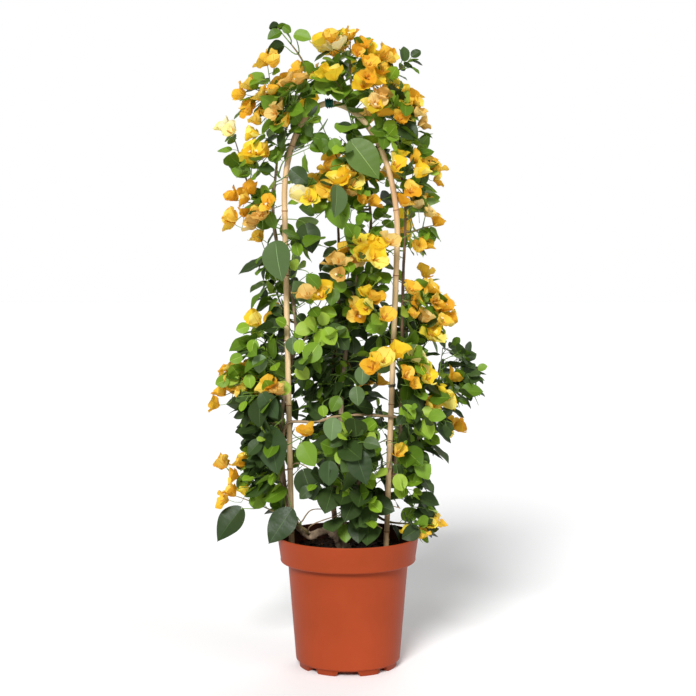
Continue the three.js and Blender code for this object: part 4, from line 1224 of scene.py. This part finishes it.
def end_direction(centre, kind, lean, draw):
    """How the leaf at a twig's end points: with the lean given, or outward, where only a young one rises."""
    if lean is not None:
        return leaning(lean)
    droop = 0.25 if kind == "young" else -0.55
    sway = Vector((draw() - 0.5, draw() - 0.5, droop + 0.4 * (draw() - 0.5)))
    return (outward_at(centre) + sway).normalized()


def branch_place(stem, end):
    tries = [k / 10 for k in range(1, 10)]
    nearest = min(tries, key=lambda t: (stem.at(t) - end).length)
    t = max(0.12, nearest - BRANCH_SHORT)
    return stem.at(t), stem.heading(t)


def plan_end(end, scale, draw):
    """An end of a spray as its kind, its middle, its direction, its root on the twig, and what it adds."""
    x, y, z, kind, *extra = end
    centre = Vector((x, y, z))
    if kind in BRACTS:
        direction = (outward_at(centre) + UP).normalized()
        set_back = BRACT_SET_BACK * BRACTS[kind]
    else:
        direction = end_direction(centre, kind, extra[0] if extra else None, draw)
        set_back = 0.5 * LEAVES[kind]["size"][0] * scale
    return kind, centre, direction, centre - direction * set_back, extra


def grow_spray(foliage, index, name, limb, at, ends):
    """One mass of foliage, by the rule that its solid was grown by, carried on to finer twigs."""
    foliage.shaded = name in SHADED_SPRAYS
    scale = SMALL_LEAVED.get(name, 1)
    draw, fine = seeded(index + 1), seeded(FINE_SEED + index)
    plans = [plan_end(end, scale, draw) for end in ends]
    start, heading, middle = spring_point(limb, at, plans[0][3])
    stem = twig_course(start, heading, plans[0][3])
    space = spray_space([start, *(centre for _, centre, *_ in plans)])
    for k, (kind, centre, direction, root, extra) in enumerate(plans):
        if k == 0:
            course = stem
            taper = tapering(STEM_RADIUS, TWIG_END_RADIUS)
            tube(foliage.twigs, rooted(stem, middle), taper, "stem", "woody shoot", bark(index, THIN_BARK))
        else:
            point, along = branch_place(stem, root)
            across = root - point
            across = (across - along * across.dot(along)).normalized()
            course = twig_course(point, (across + along * BRANCH_LEAN).normalized(), root)
            tube(foliage.twigs, course, tapering(TWIG_RADIUS, TWIG_END_RADIUS), "twig", "shoot")
        like = {"large": "dark"}.get(kind, kind)
        if kind in BRACTS:
            foliage.cluster(root, direction, kind, fine, *extra)
            like = "leaf"
        else:
            facing = facing_at(root, draw)
            _, share, family = (*extra, None, None, None)[:3]
            if kind == "large" or family:
                facing = (facing + Vector((0, math.copysign(LARGE_TURN, centre.y), 0))).normalized()
            foliage.leaf(root, direction, facing, kind, fine, scale * (share or 1), family=family)
        if name not in DRAWN_SPRAYS:
            foliage.leaf_up(course, like, kind in BRACTS, fine, space, math.sqrt(scale))


# ---- leaves straight from the limbs


def fill_limbs(foliage):
    """Short leafy twigs straight from the boughs, closest together in the dense lower bush."""
    space = crown_space(*FILL_SPACE)
    for index, name in enumerate(LIMBS):
        if name in UNFILLED:
            continue
        draw = seeded(FILL_SEED + index)
        course = limb_course(name)
        turn = draw() * FULL_TURN
        reach = 10.0
        while reach < course.length:
            t = reach / course.length
            point, along = course.at(t), course.heading(t)
            turn += GOLDEN_ANGLE
            reach += np.interp(point.z, *FILL_SPACING) * between(draw, *FILL_UNEVEN)
            if point.z < FILL_FOOT:
                continue
            set_out = (around(along, turn) + along * 0.4).normalized()
            kind = "dark" if draw() < by_height(point.z, *DARK_FILL) else "leaf"
            length = between(draw, *FILL_LENGTH) * by_height(point.z, *FILL_SHRINK)
            foliage.spur(point, set_out, length, kind, draw, space, FILL_LEAVES)


def add_shoots(foliage):
    space = crown_space(FILL_SPACE[0], CROWN_TOP, BACK_OF_SHOOTS)
    for index, (limb, at, way, end, kind) in enumerate(SHOOTS):
        draw = seeded(SHOOT_SEED + index)
        tip = Vector(end)
        _, heading, middle = spring_point(limb, at, Vector(way))
        course = through([middle, middle + heading * 8, Vector(way), tip])
        tube(foliage.twigs, course, tapering(SHOOT_RADIUS, TWIG_END_RADIUS), "shoot", "shoot")
        turn = draw() * FULL_TURN
        reach = SHOOT_BARE
        while reach < course.length:
            t, share = reach / course.length, between(draw, *SHOOT_LEAF)
            foliage.side_leaf(course, t, turn, kind, draw, share, space)
            turn += GOLDEN_ANGLE
            reach += SHOOT_LEAVES
        direction = (course.heading(1) - UP * 0.4).normalized()
        foliage.leaf(tip, direction, facing_at(tip, draw), kind, draw, SHOOT_TIP, space)


def add_lone_leaves(foliage):
    for index, (limb, at, foot, lean, turn, share, kind, *family) in enumerate(LONE_LEAVES):
        draw = seeded(LONE_SEED + index)
        foot = Vector(foot)
        _, heading, middle = spring_point(limb, at, foot)
        direction = leaning(lean)
        course = bezier(middle, middle + heading * 12, foot - direction * 9 + UP * 3, foot)
        tube(foliage.twigs, course, tapering(TWIG_RADIUS, 0.5), "lone", "shoot")
        angle = math.radians(turn)
        facing = Vector((math.sin(angle), -math.cos(angle), 0.35)).normalized()
        foliage.leaf(foot, direction, facing, kind, draw, share, family=family[0] if family else kind)


# ---- pot and soil


def notch_height(angle):
    """How far the foot ring is cut away at an angle from the front."""
    for k in range(NOTCH_COUNT):
        middle = FULL_TURN * k / NOTCH_COUNT
        away = abs((angle - middle + math.pi) % FULL_TURN - math.pi) * FOOT_RING_RADIUS
        half = (NARROW_NOTCH if k % 2 else WIDE_NOTCH) / 2
        if away < half:
            return min(NOTCH_HEIGHT, (half - away) / NOTCH_SLOPE * NOTCH_HEIGHT)
    return 0.0


def arc(centre, radius, start, end, count):
    """Points [radius, height] of a profile's rounded corner, its angles in degrees."""
    turns = (math.radians(start + (end - start) * k / count) for k in range(count + 1))
    return [(centre[0] + radius * math.cos(a), centre[1] + radius * math.sin(a)) for a in turns]


def pot_profile():
    """The pot's section from the middle of its floor to the crest of its rim, and on down to the soil."""
    lip_foot = POT_HEIGHT - LIP_HEIGHT
    lip_radius = RIM_RADIUS - LIP_TAPER
    ring_inner = FOOT_RING_RADIUS - FOOT_RING_WIDTH
    ring_edge = 0.8
    lean = (BODY_TOP_RADIUS - BODY_FOOT_RADIUS) / (lip_foot - FOOT_HEIGHT)
    foot = [
        (0.01, FOOT_HEIGHT),
        (ring_inner - 6, FOOT_HEIGHT),
        (ring_inner, FOOT_HEIGHT),
        (ring_inner, 0),
        (ring_inner + ring_edge, 0),
        (FOOT_RING_RADIUS - ring_edge, 0),
        (FOOT_RING_RADIUS, 0.6),
        (FOOT_RING_RADIUS, FOOT_HEIGHT - 0.6),
    ]
    body = [(BODY_FOOT_RADIUS + lean * (z - FOOT_HEIGHT), z) for z in np.linspace(14, lip_foot - 3, 12)]
    rise = LIP_HEIGHT - 8
    lip = [(lip_radius - 0.1 + LIP_TAPER * s, lip_foot + 6 + rise * s) for s in np.linspace(0, 1, 6)]
    edge = RIM_WALL / 2
    crest = arc((RIM_RADIUS - edge, POT_HEIGHT - edge), edge, 0, 180, 8)
    outside = [
        *foot,
        *arc((BODY_FOOT_RADIUS - 2.4, FOOT_HEIGHT + 2.6), 2.6, -80, 0, 5),
        *body,
        *arc((BODY_TOP_RADIUS + 1.4, lip_foot - 1.5), 1.4, 180, 95, 3),
        *arc((lip_radius - LIP_ROUND, lip_foot + LIP_ROUND), LIP_ROUND, -90, -5, 6),
        *lip,
        *crest[:7],
    ]
    inner = RIM_RADIUS - RIM_WALL
    return outside, [*crest[7:], (inner - 1.5, SOIL_LEVEL + 10), (inner - 3, SOIL_LEVEL - 6)]


def make_pot(columns=240):
    """The pot, with its inner wall in a darker tone of its own, which is painted shade."""
    outside, inside = pot_profile()
    points = []
    for radius, height in (*outside, *inside):
        for j in range(columns):
            angle = FULL_TURN * j / columns
            lifted = max(height, notch_height(angle)) if height < NOTCH_HEIGHT else height
            points.append((radius * math.sin(angle), -radius * math.cos(angle), lifted))
    faces = [face[::-1] for face in grid_faces(len(outside) + len(inside), columns, closed=True)]
    seam = (len(outside) - 1) * columns
    pot = Batch()
    # the inner wall's dark tone is painted shade
    pot.add(points, faces, ["pot"] * seam + ["pot inside"] * (len(faces) - seam))
    return pot


def lump(centre, radius, draw, sides=6):
    """A crumb of soil: a rough ball of a few faces."""
    stretch = Vector((between(draw, 0.7, 1.4), between(draw, 0.7, 1.4), between(draw, 0.5, 0.9)))
    lifts = (-0.75, 0, 0.75)
    points = []
    for k, lift in enumerate(lifts):
        for j in range(sides):
            angle = FULL_TURN * (j + 0.5 * k) / sides
            spread = radius * between(draw, 0.75, 1.15) * math.cos(lift)
            reach = Vector((spread * math.cos(angle), spread * math.sin(angle), radius * math.sin(lift)))
            points.append(tuple(centre + stretch * reach))
    faces = grid_faces(len(lifts), sides, closed=True)
    return points, [*faces, tuple(reversed(range(sides))), tuple(range(len(points) - sides, len(points)))]


def soil_height(x, y):
    rough = Vector((x * SOIL_GRAIN, y * SOIL_GRAIN, 0))
    return SOIL_LEVEL + sum(height * noise.noise(rough * fineness) for fineness, height in SOIL_LUMPS)


def make_soil(rings=40, columns=132):
    """The top of the potting mix, with crumbs and chips of bark strewn over it."""
    def place(radius, angle):
        x, y = radius * math.cos(angle), radius * math.sin(angle)
        return Vector((x, y, soil_height(x, y)))

    points = []
    for k in range(rings + 1):
        radius = SOIL_RADIUS * k / rings
        points.extend(tuple(place(radius, FULL_TURN * j / columns)) for j in range(columns))
    soil = Batch()
    soil.add(points, grid_faces(rings + 1, columns, closed=True), "soil")
    draw = seeded(SOIL_SEED)
    for _ in range(SOIL_CRUMBS):
        spot = place((SOIL_RADIUS - 4) * math.sqrt(draw()), draw() * FULL_TURN)
        size = 0.8 + 3.4 * draw() ** 3
        crumb, faces = lump(spot + UP * (0.2 * size), size, draw)
        soil.add(crumb, faces, pick(draw, ["soil", "soil", "crumb", "crumb", "chip"]))
    return soil


# ---- cane hoop


def on_hoop(x, z):
    return Vector((x, CANE_PLANE, z))


def quarter_arch(shoulder, steps=24):
    """From a shoulder of the hoop up to its apex."""
    apex_x, apex_z = CANE_APEX
    x, z = shoulder
    turns = (k / steps * math.pi / 2 for k in range(steps + 1))
    return [on_hoop(apex_x + (x - apex_x) * math.cos(a), z + (apex_z - z) * math.sin(a)) for a in turns]


def make_hoop():
    """The cane, with a swollen ring at each of its joints and a slight unevenness along it."""
    below = SOIL_LEVEL - 5
    up = [on_hoop(CANE_LEFT_FOOT, below), *quarter_arch(CANE_LEFT_SHOULDER)]
    down = [on_hoop(CANE_RIGHT_FOOT, below), *quarter_arch(CANE_RIGHT_SHOULDER)]
    course = Course([*up, *down[-2::-1]])
    rings = np.arange(int(course.length / CANE_JOINT) + 1) * CANE_JOINT + CANE_FIRST_JOINT

    def from_ring(t):
        return np.abs(t * course.length - rings).min()

    def radius_at(t):
        away = from_ring(t)
        swell = 0.12 * math.exp(-((away / RING_WIDTH) ** 2))
        waist = 0.05 * math.exp(-(((away - 5) / 3) ** 2))
        return CANE_RADIUS * (1 + swell - waist)

    def relief(point, *_):
        return 1 + 0.05 * noise.noise(point * 0.03) + 0.02 * noise.noise(point * 0.4)

    hoop = Batch()
    tube(hoop, course, radius_at, "cane", "cane", relief)
    sides, step = RINGS["cane"]
    steps = round(course.length / step)
    for k in range(steps):
        if from_ring((k + 0.5) / steps) < RING_WIDTH / 2:
            hoop.tones[k * sides:(k + 1) * sides] = ["cane ring"] * sides
    return hoop


def wind(batch, centre, axis, turns, width, clearance, wire, tone):
    """Wire wound round the cane."""
    steps = round(turns * 16)
    points = []
    for k in range(steps + 1):
        s = k / steps
        radial = around(axis, FULL_TURN * turns * s)
        points.append(centre + axis * (width * (s - 0.5)) + radial * (CANE_RADIUS + clearance + wire))
    tube(batch, Course(points), lambda t: wire, "wire", tone)


def make_ties():
    """The wire round the hoop's apex, in two layers, and the small clip on its right leg."""
    ties = Batch()
    apex = on_hoop(*CANE_APEX)
    level, askew = Vector((1, 0, 0)), Vector((1, 0, 0.12)).normalized()
    (turns, over_turns), (wire, over_wire) = TIE_TURNS, TIE_WIRES
    wind(ties, apex, level, turns, TIE_WIDTH, WIRE_CLEARANCE, wire, "tie")
    wind(ties, apex - level, askew, over_turns, 0.7 * TIE_WIDTH, 1.6, over_wire, "tie")
    clip = on_hoop(leg_x(CANE_RIGHT_FOOT, CANE_RIGHT_SHOULDER, CLIP_LEVEL), CLIP_LEVEL)
    wind(ties, clip, UP, CLIP_TURNS, CLIP_WIDTH, WIRE_CLEARANCE, CLIP_WIRE, "clip")
    return ties


# ---- materials


def linear(hex_colour):
    """A screen colour such as #c08040 as a shader's colour."""
    parts = (int(hex_colour[k:k + 2], 16) / 255 for k in (1, 3, 5))
    return (*(p / 12.92 if p <= 0.04045 else ((p + 0.055) / 1.055) ** 2.4 for p in parts), 1)


class Surface:
    """A material whose nodes are added one by one to its Principled BSDF."""

    def __init__(self, name, roughness, shine):
        self.material = bpy.data.materials.new(name)
        self.material.use_nodes = True
        self.tree = self.material.node_tree
        self.skin = self.tree.nodes["Principled BSDF"]
        self.skin.inputs["Roughness"].default_value = roughness
        self.skin.inputs["Specular IOR Level"].default_value = shine

    def link(self, source, socket):
        self.tree.links.new(source, socket)

    def node(self, kind, values, **sources):
        """A node with its inputs' values set, and some of them fed from other nodes."""
        added = self.tree.nodes.new(kind)
        for name, value in values.items():
            added.inputs[name].default_value = value
        for name, source in sources.items():
            self.link(source, added.inputs[name])
        return added

    def place(self):
        return self.node("ShaderNodeTexCoord", {}).outputs["Object"]

    def cloud(self, where, scale, detail=2):
        cloud = self.node("ShaderNodeTexNoise", {"Scale": scale, "Detail": detail}, Vector=where)
        return cloud.outputs["Fac"]

    def add_gloss(self, cloud, low, high):
        """Lets the roughness wander with a cloud."""
        gloss = self.node("ShaderNodeMapRange", {"To Min": low, "To Max": high}, Value=cloud)
        self.link(gloss.outputs[0], self.skin.inputs["Roughness"])

    def add_relief(self, cloud, strength, depth):
        relief = self.node("ShaderNodeBump", {"Strength": strength, "Distance": depth}, Height=cloud)
        self.link(relief.outputs[0], self.skin.inputs["Normal"])


def plain(name, colour, roughness, through=0.0, shine=0.5, grain=None):
    """A plain tone that lets a share of the light through, with a fine relief where it has a grain."""
    surface = Surface(name, roughness, shine)
    surface.skin.inputs["Base Color"].default_value = linear(colour)
    if grain:
        scale, strength, depth = grain
        cloud = surface.cloud(surface.place(), scale)
        surface.add_gloss(cloud, roughness - GRAIN_GLOSS, roughness + GRAIN_GLOSS)
        surface.add_relief(cloud, strength, depth)
    if through:
        back = surface.node("ShaderNodeBsdfTranslucent", {"Color": linear(colour)})
        mix = surface.node("ShaderNodeMixShader", {"Fac": through})
        surface.link(surface.skin.outputs[0], mix.inputs[1])
        surface.link(back.outputs[0], mix.inputs[2])
        surface.link(mix.outputs[0], surface.tree.nodes["Material Output"].inputs["Surface"])
    return surface.material


def patterned(name, low, high, roughness, scale, stretch, detail, bump, bump_scale, shine):
    """A surface whose colour wanders between two tones, with a fine relief."""
    surface = Surface(name, sum(roughness) / 2, shine)
    stretched = surface.node("ShaderNodeMapping", {"Scale": stretch}, Vector=surface.place()).outputs[0]
    cloud = surface.cloud(stretched, scale, detail)
    ramp = surface.node("ShaderNodeValToRGB", {}, Fac=cloud)
    for end, place, colour in zip(ramp.color_ramp.elements, CLOUD_ENDS, (low, high)):
        end.position, end.color = place, linear(colour)
    surface.link(ramp.outputs["Color"], surface.skin.inputs["Base Color"])
    surface.add_gloss(cloud, *roughness)
    surface.add_relief(surface.cloud(stretched, bump_scale, HARD_RELIEF_DETAIL), bump, HARD_RELIEF_DEPTH)
    return surface.material


def make_tones():
    """A material for each tone, by the name that the faces know it by."""
    tones = {tone: patterned(*look) for tone, look in HARD_TONES.items()}
    for kind, (colours, rib, *skin) in LEAF_TONES.items():
        for k, colour in enumerate(colours):
            tones[f"{kind} {k}"] = plain(f"leaf_{kind}_{k}", colour, *skin, LEAF_SHINE, LEAF_GRAIN)
        tones[f"{kind} rib"] = plain(f"rib_{kind}", rib, *LEAF_RIB, LEAF_SHINE, LEAF_GRAIN)
    for kind, (colours, rib) in BRACT_TONES.items():
        for k, colour in enumerate(colours):
            tones[f"{kind} {k}"] = plain(f"bract_{kind}_{k}", colour, *BRACT_SKIN, BRACT_SHINE, BRACT_GRAIN)
        tones[f"{kind} rib"] = plain(f"bract_rib_{kind}", rib, *BRACT_RIB, BRACT_SHINE, BRACT_GRAIN)
    for tone, look in PLAIN_TONES.items():
        tones[tone] = plain(*look)
    return tones


# ---- stage


def add_floor():
    sides = [(-1, -1), (1, -1), (1, 1), (-1, 1)]
    mesh = bpy.data.meshes.new("floor")
    mesh.from_pydata([(x * FLOOR_REACH, y * FLOOR_REACH, 0) for x, y in sides], [], [(0, 1, 2, 3)])
    mesh.materials.append(plain("pale_floor", "#fdfdfd", 0.8, shine=0.1))
    floor = add_object("floor", mesh)


def add_sun(name, place, strength, spread):
    """A soft lamp so far off that it lights the whole floor evenly."""
    lamp = bpy.data.lights.new(name, "SUN")
    lamp.energy, lamp.angle = strength, math.radians(spread)
    holder = add_object(name, lamp)
    holder.location = place
    holder.rotation_mode = "QUATERNION"
    holder.rotation_quaternion = (-Vector(place)).to_track_quat("-Z", "Y")


def add_studio():
    """A white room that is bright to look at and gives a softer light, with its lamps."""
    world = bpy.data.worlds.new("studio")
    world.use_nodes = True
    nodes, links = world.node_tree.nodes, world.node_tree.links
    lit = nodes["Background"]
    lit.inputs["Strength"].default_value = ROOM_LIGHT
    wall = nodes.new("ShaderNodeBackground")
    for background in (lit, wall):
        background.inputs["Color"].default_value = (1, 1, 1, 1)
    path, mix = nodes.new("ShaderNodeLightPath"), nodes.new("ShaderNodeMixShader")
    links.new(path.outputs["Is Camera Ray"], mix.inputs["Fac"])
    links.new(lit.outputs[0], mix.inputs[1])
    links.new(wall.outputs[0], mix.inputs[2])
    links.new(mix.outputs[0], nodes["World Output"].inputs["Surface"])
    bpy.context.scene.world = world
    for name, lamp in LAMPS.items():
        add_sun(name, *lamp)
    bpy.context.scene.view_settings.view_transform = "Standard"


def add_camera():
    camera = bpy.data.cameras.new("camera")
    camera.lens, camera.sensor_width = CAMERA_LENS, CAMERA_SENSOR
    holder = add_object("camera", camera)
    holder.location = (0, -CAMERA_DISTANCE * MM, CAMERA_HEIGHT * MM)
    holder.rotation_euler = (math.radians(90 - CAMERA_PITCH), 0, 0)
    bpy.context.scene.camera = holder


# ---- assembly


def grow_foliage():
    foliage = Foliage()
    for index, spray in enumerate(SPRAYS):
        grow_spray(foliage, index, *spray)
    fill_limbs(foliage)
    add_shoots(foliage)
    add_lone_leaves(foliage)
    add_bare_twigs(foliage.twigs)
    return foliage


def main():
    tones = make_tones()

    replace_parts(make_pot().build("nursery_pot", tones, "pot"), "pot")
    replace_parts(make_soil().build("potting_mix", tones, "soil"), "soil")
    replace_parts(make_hoop().build("cane_hoop", tones, "cane"),
                "cane_left", "cane_left_bend", "cane_right_bend", "cane_right")
    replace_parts(make_ties().build("wire_ties", tones, "tie"), "cane_tie", "cane_clip")
    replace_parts(grow_trunk().build("trunk_bark", tones, "bark"), "trunk")
    boughs = [f"bough_{name}" for name in LIMBS if name != "trunk"]
    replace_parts(grow_boughs().build("boughs_bark", tones, "bark"), *boughs)

    foliage = grow_foliage()
    masses = [f"foliage_{name}" for name, *_ in SPRAYS]
    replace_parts(foliage.dark.build("dark_leaves", tones, "foliage"), *masses)
    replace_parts(foliage.green.build("green_leaves", tones, "foliage"), *masses)
    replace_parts(foliage.young.build("young_leaves", tones, "foliage"), *masses)
    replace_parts(foliage.bracts.build("bracts", tones, "blossom"), *masses)
    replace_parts(foliage.twigs.build("twigs", tones, "foliage"), *masses)

    add_floor()
    add_studio()
    add_camera()


main()
